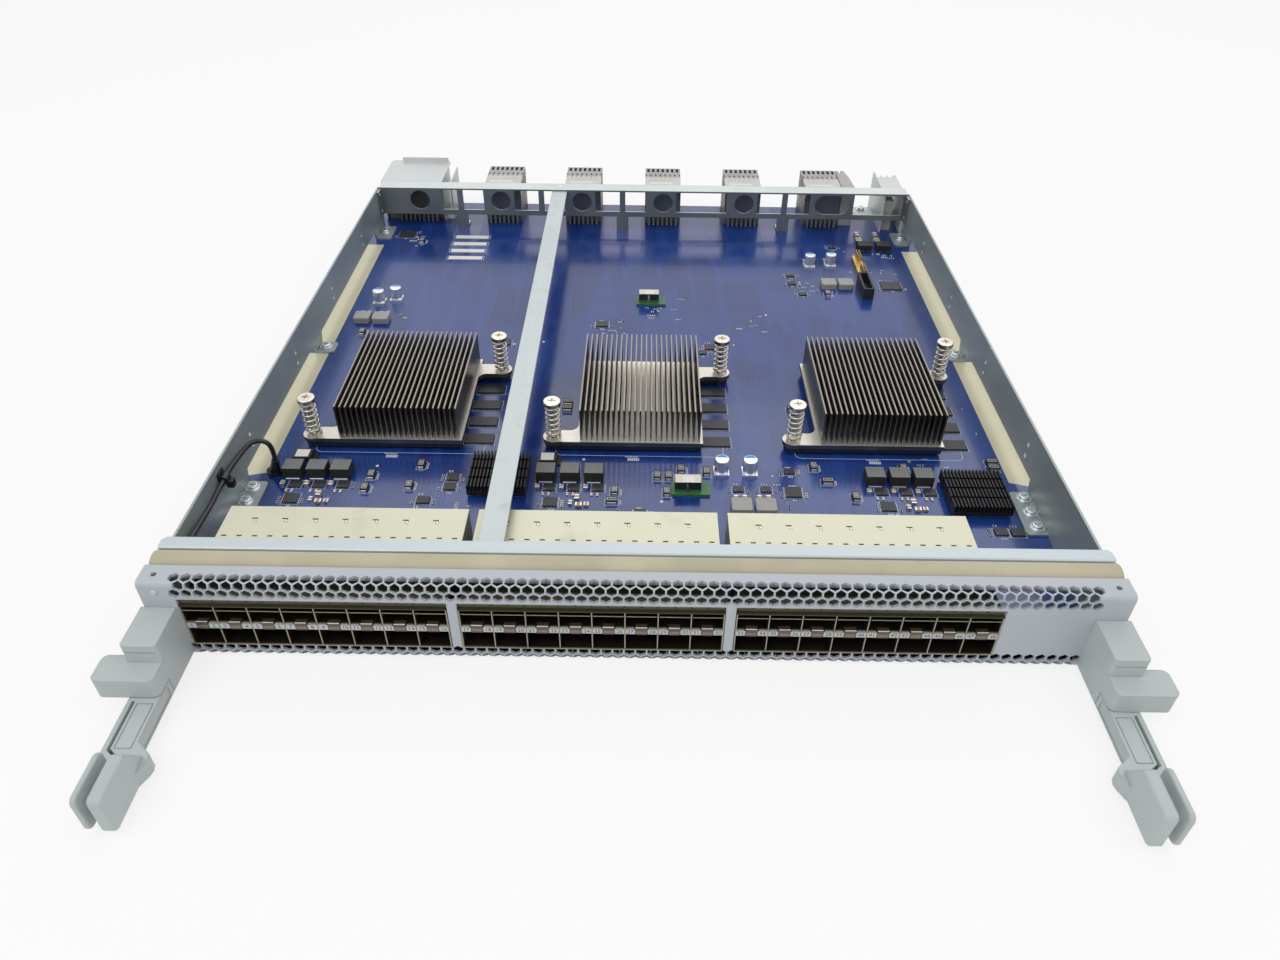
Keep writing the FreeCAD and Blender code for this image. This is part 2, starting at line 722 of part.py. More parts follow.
def end_flanges(half, y0):
    """Flanges bent forward along both walls, each with two rivet heads."""
    pieces = []
    for side in (-1, 1):
        outer, inner = side * half, side * (half - SHEET_T)
        x0, x1 = min(outer, inner), max(outer, inner)
        pieces.append(box(x0, x1, y0 - END_FLANGE_D, y0 + SHEET_T, BULKHEAD_LOW, FRAME_H - SHEET_T))
        for z in (BULKHEAD_LOW + 3, FRAME_H - 5):
            x = inner - RIVET_H if side > 0 else inner
            pieces.append(cylinder_x(y0 - END_FLANGE_D / 2, z, x, x + RIVET_H, RIVET_R))
    return pieces


def oblong_hole(x, y0, y1):
    z = REAR_HOLE_Z
    half, end = OBLONG_W / 2, OBLONG_H / 2
    middle = box(x - half + end, x + half - end, y0 - 1, y1 + 1, z - end, z + end)
    left = cylinder_y(x - half + end, z, y0 - 1, y1 + 1, end)
    right = cylinder_y(x + half - end, z, y0 - 1, y1 + 1, end)
    return fuse([middle, left, right])


def brace_notch(y0, y1):
    x0 = BRACE_X - BRACE_W / 2 - 2 * FIT
    x1 = BRACE_X + BRACE_W / 2 + 2 * FIT
    low = SHELF_UNDER - SHEET_T - 2 * FIT
    return box(x0, x1, y0 - 1, y1, low, SHELF_UNDER)


def brace_screw_y():
    return BULKHEAD_Y + SHEET_T + BULKHEAD_LIP / 2


def brace_screw_hole():
    return cylinder(BRACE_X, brace_screw_y(), 0, FRAME_H + 1, BOARD_SCREW_R + FIT)


def centre_brace():
    """Flat bar from under the panel's shelf to under the bulkhead's lip."""
    x0, x1 = BRACE_X - BRACE_W / 2, BRACE_X + BRACE_W / 2
    y0, y1 = TOP_FLANGE_D + 1, BULKHEAD_Y + SHEET_T + BULKHEAD_LIP - 1
    bar = box(x0, x1, y0, y1, SHELF_UNDER - SHEET_T, SHELF_UNDER)
    return cut(bar, [brace_screw_hole()])


def board_screw_places():
    """Every screw that passes through the board, as (x, y, level of its head's seat)."""
    places = []
    for x, y in foot_screws():
        places += [(x, y, SHEET_T), (-x, y, SHEET_T)]
    places += [(x, y, SHEET_T) for x, y in column_screws()]
    places.append(bracket_screw() + (SHEET_T,))
    return places


def circuit_board():
    board = box(-BOARD_HALF, BOARD_HALF, BOARD_SETBACK, BOARD_BACK, -BOARD_T, 0)
    edges = box(-GUIDE_EDGE_HALF, GUIDE_EDGE_HALF, GUIDE_EDGE_Y, BOARD_BACK, -BOARD_T, 0)
    board = fuse([board, edges])
    front_notch = PANEL_T + RETURN_D + 2 * FIT
    notches = []
    for x0, x1 in ((-BIG, -BOARD_HALF + PANEL_T + 2 * FIT), (BOARD_HALF - PANEL_T - 2 * FIT, BIG)):
        notches.append(box(x0, x1, 0, front_notch, -BIG, BIG))
    board = cut(board, notches)
    corners = [(x, y) for x in (-GUIDE_EDGE_HALF, GUIDE_EDGE_HALF) for y in (GUIDE_EDGE_Y, BOARD_BACK)]
    board = round_uprights(board, BOARD_CORNER_R, corners)
    holes = []
    for x, y, _ in board_screw_places():
        holes.append(cylinder(x, y, -BOARD_T - 1, 1, BOARD_SCREW_R + FIT))
    return cut(board, holes)


def pan_screw(x, y, seat, length):
    """Pan-head screw with a washer; the shank goes down from its seat."""
    washer = cylinder(x, y, seat, seat + WASHER_T, WASHER_R)
    head = cylinder(x, y, seat + WASHER_T, seat + WASHER_T + BOARD_SCREW_HEAD_H, BOARD_SCREW_HEAD_R)
    top = seat + WASHER_T + BOARD_SCREW_HEAD_H
    head = round_edges(head, 0.7, lambda edge: abs(edge.BoundBox.ZMin - top) < 1e-6)
    shank = cylinder(x, y, seat - length, seat, BOARD_SCREW_R)
    cross = [box(x - 1.6, x + 1.6, y - 0.35, y + 0.35, top - 1.0, top + 1)]
    cross.append(box(x - 0.35, x + 0.35, y - 1.6, y + 1.6, top - 1.0, top + 1))
    return cut(fuse([washer, head, shank]), cross)


def board_screws():
    length = SHEET_T + BOARD_T
    screws = [pan_screw(x, y, seat, length) for x, y, seat in board_screw_places()]
    screws.append(brace_rivet())
    return group(screws)


def brace_rivet():
    """Flat rivet that joins the brace to the bulkhead's lip."""
    y = brace_screw_y()
    shank = cylinder(BRACE_X, y, FRAME_H - 2 * SHEET_T, FRAME_H, BOARD_SCREW_R)
    return fuse([shank, cylinder(BRACE_X, y, FRAME_H, FRAME_H + RIVET_H / 2, BOARD_SCREW_R + 0.5)])


# ---------------------------------------------------------------- port cages
def cage_top(index):
    """Top sheet with the seam slots and the small catch windows of its dividers."""
    x0 = cage_x(index)
    top = box(x0, x0 + CAGE_W, -CAGE_PROUD, CAGE_D, CAGE_H - CAGE_T, CAGE_H)
    slots = []
    for k in range(COLUMNS):
        for share in (0.25, 0.75):
            x = x0 + PORT_PITCH * (k + share)
            slots.append(box(x - 1.2, x + 1.2, CAGE_SEAM_Y, CAGE_SEAM_Y + 0.9, 0, BIG))
    for k in range(1, COLUMNS):
        x = x0 + PORT_PITCH * k
        y = CAGE_D - 9.0
        slots.append(box(x - 1.6, x + 1.2, y, y + 0.8, 0, BIG))
        slots.append(box(x + 0.5, x + 1.2, y - 1.8, y, 0, BIG))
    return cut(top, slots)


def cage_tops():
    return group([cage_top(index) for index in range(CAGES)])


def cage_shells():
    """Sides, back and floor sheets of every cage."""
    sheets = []
    for index in range(CAGES):
        x0 = cage_x(index)
        x1 = x0 + CAGE_W
        for x in (x0, x1 - CAGE_T):
            sheets.append(box(x, x + CAGE_T, -CAGE_PROUD, CAGE_D - CAGE_T, 0, CAGE_H - CAGE_T))
        sheets.append(box(x0, x1, CAGE_D - CAGE_T, CAGE_D, 0, CAGE_H - CAGE_T))
        sheets.append(box(x0 + CAGE_T, x1 - CAGE_T, -CAGE_PROUD, CAGE_SEAM_Y, 0, CAGE_FLOOR_T))
    return group(sheets)


def port_dividers():
    sheets = []
    for index in range(CAGES):
        for k in range(1, COLUMNS):
            x = cage_x(index) + PORT_PITCH * k - CAGE_T / 2
            sheets.append(box(x, x + CAGE_T, 0, CAGE_D - CAGE_T, CAGE_FLOOR_T, CAGE_H - CAGE_T))
    return group(sheets)


def column_span(index, k):
    """Clear width of one column of ports, as (left, right) in x."""
    x0 = cage_x(index) + PORT_PITCH * k
    left = CAGE_T if k == 0 else CAGE_T / 2
    right = CAGE_T if k == COLUMNS - 1 else CAGE_T / 2
    return x0 + left, x0 + PORT_PITCH - right


def port_shelf(index, k):
    """Middle band of a column, with a latch notch in its upper and lower front edges."""
    x0, x1 = column_span(index, k)
    shelf = box(x0, x1, 0, CAGE_D - CAGE_T - SOCKET_D, SHELF_LOW, SHELF_LOW + SHELF_H)
    middle = (x0 + x1) / 2
    notches = []
    for z0 in (SHELF_LOW - 1, SHELF_LOW + SHELF_H - 0.7):
        notches.append(box(middle - 3.2, middle + 3.2, -1, 1.6, z0, z0 + 1.7))
    return cut(shelf, notches)


def port_shelves():
    shelves = []
    for index in range(CAGES):
        shelves += [port_shelf(index, k) for k in range(COLUMNS)]
    return group(shelves)


def port_socket(index, k):
    """Stacked edge socket: one block with a nose behind each of its two ports."""
    x0, x1 = column_span(index, k)
    x0, x1 = x0 + FIT, x1 - FIT
    y1 = CAGE_D - CAGE_T
    y0 = y1 - SOCKET_D
    top = CAGE_H - CAGE_T - FIT
    block = box(x0, x1, y0 + SOCKET_NOSE, y1, 0, top)
    low = box(x0 + 1, x1 - 1, y0, y1, 2.0, SHELF_LOW - 1.2)
    high = box(x0 + 1, x1 - 1, y0, y1, SHELF_LOW + SHELF_H + 1.2, top - 1.6)
    return fuse([block, low, high])


def port_sockets():
    sockets = []
    for index in range(CAGES):
        sockets += [port_socket(index, k) for k in range(COLUMNS)]
    return group(sockets)


def cage_spring_strip(index):
    """Bent strip of spring fingers between the cage's top and the window's upper edge."""
    x0, x1 = cage_x(index), cage_x(index) + CAGE_W
    y0 = PANEL_T + FIT
    top = CAGE_H + WINDOW_ABOVE - FIT
    front = box(x0, x1, y0, y0 + SPRING_T, CAGE_H, top)
    foot = box(x0, x1, y0, y0 + SPRING_FOOT, CAGE_H, CAGE_H + SPRING_T)
    gaps = []
    for k in range(1, 2 * COLUMNS):
        x = x0 + PORT_PITCH / 2 * k
        gaps.append(box(x - 0.4, x + 0.4, 0, y0 + 3, CAGE_H + 1.0, BIG))
    return cut(fuse([front, foot]), gaps)


def cage_spring_strips():
    return group([cage_spring_strip(index) for index in range(CAGES)])


# ---------------------------------------------------------------- heat sinks
def sink_ear(x, y, toward, z0, z1, inset=0.0):
    """Arm of a plate that reaches a shoulder screw; toward is +1 or -1 in x."""
    inner = x - toward * (SINK_EAR_X - SINK_BASE_W / 2 + 2)
    x0, x1 = min(x, inner), max(x, inner)
    half = SINK_EAR_R - 0.5 - inset
    arm = box(x0, x1, y - half, y + half, z0, z1)
    end = cylinder(x, y, z0, z1, SINK_EAR_R - inset)
    return [arm, end]


def heat_sink_pad(index):
    """Black pad under the base plate, open round the chip and the standoffs."""
    x = sink_x(index)
    half = SINK_BASE_W / 2 - PAD_INSET
    y0, y1 = SINK_Y + PAD_INSET, SINK_BACK - PAD_INSET
    pieces = [box(x - half, x + half, y0, y1, PAD_LOW, CHIP_H)]
    front, back = sink_screws(index)
    pieces += sink_ear(front[0], front[1], -1, PAD_LOW, CHIP_H, PAD_INSET)
    pieces += sink_ear(back[0], back[1], 1, PAD_LOW, CHIP_H, PAD_INSET)
    room = CHIP_W / 2 + 1
    middle = (y0 + y1) / 2
    holes = [box(x - room, x + room, middle - room, middle + room, 0, BIG)]
    for sx, sy in (front, back):
        holes.append(cylinder(sx, sy, 0, CHIP_H + 1, STANDOFF_R + 0.3))
    return cut(fuse(pieces), holes)


def heat_sink_pads():
    return group([heat_sink_pad(index) for index in range(SINKS)])


def heat_sink(index):
    x = sink_x(index)
    half = SINK_BASE_W / 2
    pieces = [box(x - half, x + half, SINK_Y, SINK_BACK, CHIP_H, SINK_BASE_TOP)]
    front, back = sink_screws(index)
    pieces += sink_ear(front[0], front[1], -1, CHIP_H, SINK_BASE_TOP)
    pieces += sink_ear(back[0], back[1], 1, CHIP_H, SINK_BASE_TOP)
    y0 = SINK_Y + SINK_FIN_SETBACK
    for k in range(SINK_FINS):
        x_fin = x + (k - (SINK_FINS - 1) / 2) * SINK_FIN_PITCH
        x0, x1 = x_fin - SINK_FIN_T / 2, x_fin + SINK_FIN_T / 2
        pieces.append(box(x0, x1, y0, y0 + SINK_FIN_D, SINK_BASE_TOP - 0.5, SINK_TOP))
    body = fuse(pieces)
    neck_y = front[1] + SINK_EAR_R - 0.5
    rear_neck_y = back[1] - SINK_EAR_R + 0.5
    body = round_uprights(body, 5.0, [(x - half, neck_y), (x + half, rear_neck_y)])
    holes = []
    for sx, sy in (front, back):
        holes.append(cylinder(sx, sy, 0, SINK_TOP, SCREW_SHANK_R + 0.3))
    return cut(body, holes)


def every_sink_screw():
    places = []
    for index in range(SINKS):
        places += sink_screws(index)
    return places


def heat_sink_standoffs():
    posts = []
    for x, y in every_sink_screw():
        post = cylinder(x, y, 0, CHIP_H, STANDOFF_R)
        posts.append(cut(post, [cylinder(x, y, 0.8, CHIP_H + 1, SCREW_SHANK_R + 0.05)]))
    return group(posts)


def shoulder_screw(x, y):
    seat = SINK_BASE_TOP + SCREW_SPRING_H
    top = seat + SCREW_HEAD_H
    head = cylinder(x, y, seat, top, SCREW_HEAD_R)
    head = round_edges(head, 0.8, lambda edge: abs(edge.BoundBox.ZMin - top) < 1e-6)
    shank = cylinder(x, y, 0.8, seat, SCREW_SHANK_R)
    cross = [box(x - 2.2, x + 2.2, y - 0.5, y + 0.5, top - 1.2, top + 1)]
    cross.append(box(x - 0.5, x + 0.5, y - 2.2, y + 2.2, top - 1.2, top + 1))
    return cut(fuse([head, shank]), cross)


def heat_sink_screws():
    return group([shoulder_screw(x, y) for x, y in every_sink_screw()])


def coil_spring(x, y):
    """Coil between an ear and a screw's head."""
    length = SCREW_SPRING_H - 2 * SPRING_WIRE_R
    start = SINK_BASE_TOP + SPRING_WIRE_R
    helix = Part.makeHelix(length / SPRING_TURNS, length, SPRING_COIL_R)
    ring = Part.Wire(Part.makeCircle(SPRING_WIRE_R, V(SPRING_COIL_R, 0, 0), V(0, 1, 0)))
    coil = Part.Wire(helix).makePipeShell([ring], True, True)
    coil.translate(V(x, y, start))
    return coil


def heat_sink_springs():
    return group([coil_spring(x, y) for x, y in every_sink_screw()])


def switch_chips():
    chips = []
    y = SINK_Y + SINK_BASE_D / 2
    for index in range(SINKS):
        x = sink_x(index)
        half = CHIP_W / 2
        lid = half - CHIP_LID_INSET
        base = box(x - half, x + half, y - half, y + half, 0, CHIP_SUBSTRATE_T)
        cap = box(x - lid, x + lid, y - lid, y + lid, CHIP_SUBSTRATE_T, CHIP_H)
        chips.append(fuse([base, cap]))
    return group(chips)


def memory_chips():
    chips = []
    for index in range(SINKS):
        x = sink_x(index) + MEMORY_X
        for row in range(MEMORY_ROWS):
            y = SINK_BACK - MEMORY_BACK - row * MEMORY_STEP
            chips.append(chip_box(x, y, MEMORY_W, MEMORY_D, MEMORY_H))
    return group(chips)


def chip_box(x, y, width, depth, height):
    return box(x - width / 2, x + width / 2, y - depth / 2, y + depth / 2, 0, height)


def pin_sink(x, y):
    """Black heat sink: fins from front to back, cut across by grooves."""
    half = PIN_SINK_W / 2
    low = PIN_SINK_CHIP_H
    top = low + PIN_SINK_BASE_T
    pieces = [box(x - half, x + half, y - half, y + half, low, top)]
    pitch = (PIN_SINK_W - PIN_SINK_FIN_T) / (PIN_SINK_FINS - 1)
    for k in range(PIN_SINK_FINS):
        x0 = x - half + k * pitch
        pieces.append(box(x0, x0 + PIN_SINK_FIN_T, y - half, y + half, low, top + PIN_SINK_H))
    step = PIN_SINK_W / (PIN_SINK_GROOVES + 1)
    grooves = []
    for k in range(1, PIN_SINK_GROOVES + 1):
        y0 = y - half + k * step - PIN_SINK_GROOVE / 2
        grooves.append(box(x - BIG, x + BIG, y0, y0 + PIN_SINK_GROOVE, top + 0.6, BIG))
    return cut(fuse(pieces), grooves)


def pin_sink_places():
    left = (sink_x(0) + PIN_SINK_LEFT[0], PIN_SINK_LEFT[1])
    right = (sink_x(SINKS - 1) + PIN_SINK_RIGHT[0], PIN_SINK_RIGHT[1])
    return left, right


# ---------------------------------------------------------------- rear connectors
def backplane_connector(index):
    """Wafer block, mating housing and the comb of leads in front of them."""
    x = rear_x(index)
    half = CONNECTOR_W / 2
    y2 = CONNECTOR_BACK
    y1 = y2 - CONNECTOR_HOUSING_D
    y0 = y1 - CONNECTOR_BODY_D
    body = box(x - half, x + half, y0, y1, 0, CONNECTOR_H)
    body = cut(body, [plate_x([(y0 - 1, 16), (y0 - 1, BIG), (y0 + 3, BIG)], x - BIG, x + BIG)])
    housing = box(x - half, x + half, y1, BOARD_BACK, 0, CONNECTOR_H)
    nose = box(x - half, x + half, BOARD_BACK, y2, -BOARD_T + 0.6, CONNECTOR_H)
    slots = side_grooves(x, half, y0)
    for k in range(WAFERS + 1):
        x_gap = x + (k - WAFERS / 2) * WAFER_NOTCH
        notch = [(x_gap - 0.9, y1), (x_gap + 0.9, y1), (x_gap, y1 + 4.0)]
        slots.append(plate_z(notch, CONNECTOR_H - 3, BIG))
    for k in range(WAFERS):
        x0 = x + (k - (WAFERS - 1) / 2) * WAFER_NOTCH - CONTACT_SLOT / 2
        slots.append(box(x0, x0 + CONTACT_SLOT, y2 - 8, y2 - 1.2, 18, BIG))
        slots.append(box(x0 + 0.4, x0 + CONTACT_SLOT - 0.4, y2 - 3, y2 + 1, 3, 16))
    return cut(fuse([body, housing, nose] + lead_comb(x, WAFERS, y0)), slots)


def side_grooves(x, half, y0):
    """Cutters of the sloping grooves in both sides of a connector."""
    top = CONNECTOR_H - 3
    grooves = []
    for k in range(4):
        start = y0 + 2.5 + 6.2 * k
        outline = [(start, 4), (start + 1.6, 4), (start + 6.6, top), (start + 5.0, top)]
        grooves.append(plate_x(outline, x - half - 1, x - half + RIB_GROOVE))
        grooves.append(plate_x(outline, x + half - RIB_GROOVE, x + half + 1))
    return grooves


def lead_comb(x, count, y0):
    """Short bent leads that show under the bulkhead."""
    leads = []
    for k in range(count):
        x0 = x + (k - (count - 1) / 2) * LEAD_COMB_PITCH
        y1 = y0 - LEAD_COMB_D
        outline = [(y0 + 0.5, 0), (y1, 0), (y1 + 1, LEAD_COMB_H), (y0 + 0.5, LEAD_COMB_H)]
        leads.append(plate_x(outline, x0 - 0.9, x0 + 0.9))
    return leads


def guide_module():
    """Keyed guide beside the last connector, with a sloping rear corner."""
    x0 = rear_x(5) + CONNECTOR_W / 2 + 0.6
    x1 = x0 + GUIDE_W
    y1 = CONNECTOR_BACK - CONNECTOR_HOUSING_D
    y0 = y1 - CONNECTOR_BODY_D
    outline = [(x0, y0), (x1, y0), (x1 - 1.5, y1 + 2), (x1 - 4, CONNECTOR_BACK), (x0, CONNECTOR_BACK)]
    body = plate_z(outline, 0, CONNECTOR_H)
    notch = box(x0 + 2.4, x0 + 4.2, CONNECTOR_BACK - 5, BIG, CONNECTOR_H - 9, BIG)
    under = box(x0 - 1, x1 + 1, BOARD_BACK, BIG, -BIG, 0.0)
    return cut(body, [notch, under])


def power_x():
    return -WALL_OUT + COVER_W / 2


def power_connector():
    """Power block under the cover, with blade slots in its rear face."""
    x = power_x()
    y0 = BULKHEAD_Y + SHEET_T + BULKHEAD_LIP + 3
    y1 = COVER_BACK - 3
    half = COVER_W / 2 - COVER_T - POWER_AIR
    body = box(x - half, x + half, y0, BOARD_BACK, 0, POWER_H)
    nose = box(x - half, x + half, BOARD_BACK, y1, -BOARD_T + 0.6, POWER_H)
    slots = []
    for k in range(4):
        x0 = x - half + half / 2 * (k + 0.5)
        slots.append(box(x0 - 1.1, x0 + 1.1, y1 - 10, y1 + 1, 5, POWER_H - 5))
    return cut(fuse([body, nose] + lead_comb(x + 3.0, POWER_LEADS, y0)), slots)


def rear_left_cover():
    """Folded cover over the power block: top, two sides and an upturned rear lip."""
    x = power_x()
    x0, x1 = x - COVER_W / 2, x + COVER_W / 2
    y0 = BULKHEAD_Y + SHEET_T + BULKHEAD_LIP + FIT
    y1 = COVER_BACK
    top = box(x0, x1, y0, y1, FRAME_H - COVER_T, FRAME_H)
    left = box(x0, x0 + COVER_T, y0, BOARD_BACK, 0, FRAME_H)
    right = box(x1 - COVER_T, x1, y0, BOARD_BACK, 0, FRAME_H)
    y_lip = y1 - COVER_LIP_BACK
    lip = box(x0 + COVER_LIP_LEFT, x1 - 1.5, y_lip, y_lip + COVER_T, FRAME_H - COVER_T, FRAME_H + COVER_LIP)
    x_guide = x1 + GUIDE_GAP
    guide = box(x_guide, x_guide + COVER_T, y0 + 2, BOARD_BACK, 0, FRAME_H - SHEET_T)
    foot = box(x1 - COVER_T, x_guide + COVER_T, y0 + 2, BOARD_BACK, 0, COVER_T)
    cover = fuse([top, left, right, lip, guide, foot])
    return round_uprights(cover, 3.0, [(x0, y1), (x1, y1)])


def rear_right_bracket():
    """U-shaped guide bracket with a toothed rear edge and a foot on the board."""
    x0 = bracket_x()
    x1 = x0 + BRACKET_W
    y0 = BULKHEAD_Y + SHEET_T + FIT
    y1 = y0 + BULKHEAD_LIP + BRACKET_D
    z1 = FRAME_H - SHEET_T - FIT
    left = box(x0, x0 + COVER_T, y0, BOARD_BACK + 3, 0, z1)
    right = box(x1 - COVER_T, x1, y0, BOARD_BACK - 4, 0, z1)
    top = box(x0, x1, y0, y1 - 14, z1 - COVER_T, z1)
    teeth = []
    for k in range(3):
        x_tooth = x0 + 2.5 + k * BRACKET_W / 3.4
        points = [(x_tooth, y1 - 15), (x_tooth + 3.4, y1 - 15), (x_tooth + 1.7, y1 - 9)]
        teeth.append(plate_z(points, z1 - COVER_T, z1))
    foot = box(x0 - BRACKET_FOOT_W, x0 + COVER_T, BOARD_BACK - 17, BOARD_BACK - 0.5, 0, SHEET_T)
    x, y = bracket_screw()
    hole = cylinder(x, y, -1, SHEET_T + 1, BOARD_SCREW_R + FIT)
    return cut(fuse([left, right, top, foot] + teeth), [hole])


def guide_receptacle():
    """Moulded guide-pin receptacle inside the bracket."""
    x0 = bracket_x() + COVER_T + 0.2
    y0 = BULKHEAD_Y + SHEET_T + 4
    y1 = BOARD_BACK - 6
    body = box(x0, x0 + RECEPTACLE_W, y0, y1, 0, 24)
    ribs = [box(x0 - 1, x0 + RECEPTACLE_W + 1, y0 + 4 + 6 * k, y0 + 6 + 6 * k, 20, BIG) for k in range(4)]
    return cut(body, ribs)


# ---------------------------------------------------------------- parts on the board
def inductor_rows():
    """First inductor of each row of three, as (x, y)."""
    y = SINK_Y - 22.6
    return [(sink_x(0) - 52.2, y), (sink_x(1) - 50.4, y), (sink_x(2) - 7.4, y)]


def power_inductors():
    cubes = []
    for x0, y in inductor_rows():
        for k in range(3):
            x = x0 + k * INDUCTOR_STEP
            half_w, half_d = INDUCTOR_W / 2, INDUCTOR_D / 2
            body = box(x - half_w, x + half_w, y - half_d, y + half_d, INDUCTOR_FOOT, INDUCTOR_H)
            foot_d = half_d + 0.4
            feet = box(x - half_w + 1, x + half_w - 1, y - foot_d, y + foot_d, 0, INDUCTOR_FOOT + 0.3)
            cubes.append(fuse([body, feet]))
    return group(cubes)


def voltage_modules():
    modules = []
    for x, y in ((sink_x(0) - 51.4, SINK_Y - 8.6), (sink_x(1) - 50.6, SINK_Y - 8.6)):
        carrier = box(x - MODULE_W / 2, x + MODULE_W / 2 + 2.5, y - MODULE_D / 2, y + MODULE_D / 2, 0, 0.8)
        body = box(x - MODULE_W / 2, x + MODULE_W / 2, y - MODULE_D / 2, y + MODULE_D / 2, 0, MODULE_H)
        modules.append(fuse([carrier, body]))
    return group(modules)


def converter_boards():
    boards = []
    for x, y in ((sink_x(1) + 27.2, SINK_Y - 32.0), (sink_x(1) + 6.0, SINK_BACK + 90.0)):
        half_w, half_d = CONVERTER_W / 2, CONVERTER_D / 2
        base = box(x - half_w, x + half_w, y - half_d, y + half_d, 0, CONVERTER_T)
        top = CONVERTER_T + CONVERTER_BLOCK_H
        left = box(x - half_w + 1.8, x - 2.2, y - half_d + 1.6, y + half_d - 2.2, CONVERTER_T, top)
        right = box(x - 1.0, x + 5.4, y - half_d + 1.6, y + half_d - 2.2, CONVERTER_T, top)
        lid = box(x - half_w + 1.8, x + 5.4, y - half_d + 1.6, y + half_d - 2.2, top - 0.8, top)
        boards.append(fuse([base, left, right, lid]))
    return group(boards)


def can_places():
    near = [(sink_x(1) + 44.5, SINK_Y - 16.6), (sink_x(1) + 59.9, SINK_Y - 16.8)]
    left = [(sink_x(0) - 49.4, SINK_BACK + 84.1), (sink_x(0) - 38.5, SINK_BACK + 88.8)]
    right = [(sink_x(2) - 9.2, BULKHEAD_Y - 62.3), (sink_x(2) + 6.7, BULKHEAD_Y - 60.6)]
    return near + left + right


def capacitor_can(x, y):
    """Aluminium can, grooved above its square moulded base."""
    base = box(x - CAN_R - 0.2, x + CAN_R + 0.2, y - CAN_R - 0.2, y + CAN_R + 0.2, 0, CAN_BASE_H)
    can = cylinder(x, y, CAN_BASE_H - 0.2, CAN_H, CAN_R)
    can = round_edges(can, 0.5, lambda edge: abs(edge.BoundBox.ZMin - CAN_H) < 1e-6)
    ring = cylinder(x, y, CAN_BASE_H + 0.5, CAN_BASE_H + 1.2, CAN_R + 1)
    ring = cut(ring, [cylinder(x, y, 0, BIG, CAN_R - 0.4)])
    return cut(fuse([base, can]), [ring])


def capacitor_cans():
    return group([capacitor_can(x, y) for x, y in can_places()])


def flat_inductor_places():
    near = [(sink_x(1) + 53.4, 96.0), (sink_x(1) + 66.0, 96.0)]
    left = [(sink_x(0) - 55.6, SINK_BACK + 60.0), (sink_x(0) - 43.0, SINK_BACK + 59.6)]
    right = [(sink_x(2) + 0.8, BULKHEAD_Y - 93.4), (sink_x(2) + 13.2, BULKHEAD_Y - 93.4)]
    return near + left + right


def flat_inductors():
    parts = []
    for x, y in flat_inductor_places():
        half_w, half_d = FLAT_W / 2, FLAT_D / 2
        body = box(x - half_w, x + half_w, y - half_d, y + half_d, 0, FLAT_H)
        body = round_edges(body, 1.2, is_upright)
        slot = box(x - half_w + 1.5, x + half_w - 1.5, y - half_d - 1, y - half_d + 0.5, 0.8, 1.6)
        parts.append(cut(body, [slot]))
    return group(parts)


def logic_chip_list():
    """Flat packages, as (x, y, width, depth)."""
    chips = []
    for x0, y in inductor_rows():
        for k in range(3):
            chips.append((x0 + k * INDUCTOR_STEP + 2.6, y - 9.4, 6.2, 5.4))
        chips.append((x0 + INDUCTOR_STEP * 0.3, y - 21.4, 7.6, 7.0))
    left, mid, right = sink_x(0), sink_x(1), sink_x(2)
    chips += [(left + 33.5, 118.5, 6.4, 5.6), (left + 33.0, 110.5, 6.4, 5.6)]
    chips += [(left + 21.0, 99.0, 6.6, 5.0), (left + 20.2, 88.6, 6.6, 5.0), (left + 31.0, 86.2, 6.6, 5.0)]
    chips += [(mid + 0.6, 90.6, 6.6, 6.2), (right - 52.0, 109.6, 8.6, 8.0), (right - 52.2, 127.4, 5.2, 4.2)]
    chips += [(right + 50.0, 80.4, 6.6, 5.0), (right + 58.4, 80.0, 6.6, 5.0)]
    chips += [(mid + 52.8, 111.4, 5.4, 4.2), (mid + 67.6, 111.4, 5.4, 4.2)]
    rear = BULKHEAD_Y
    chips += [(left - 52.6, rear - 16.6, 12.6, 10.4), (right + 46.4, rear - 93.0, 14.6, 12.0)]
    chips += [(mid - 27.0, SINK_BACK + 57.4, 8.2, 6.8), (left + 44.2, SINK_BACK + 32.0, 8.0, 6.6)]
    chips += [(right - 25.0, rear - 78.6, 6.0, 4.6), (right - 25.2, rear - 91.0, 6.0, 4.6)]
    chips += [(right - 19.4, rear - 107.0, 5.6, 4.4), (right + 13.0, rear - 30.0, 5.2, 4.6)]
    chips += [(mid + 44.6, SINK_BACK + 29.0, 7.0, 6.0), (mid + 39.6, SINK_BACK + 22.4, 5.0, 4.4)]
    return chips


def logic_chips():
    chips = [chip_box(x, y, w, d, CHIP_BODY_H) for x, y, w, d in logic_chip_list()]
    for x, y in pin_sink_places():
        chips.append(chip_box(x, y, PIN_SINK_W - 4, PIN_SINK_W - 4, PIN_SINK_CHIP_H))
    return group(chips)


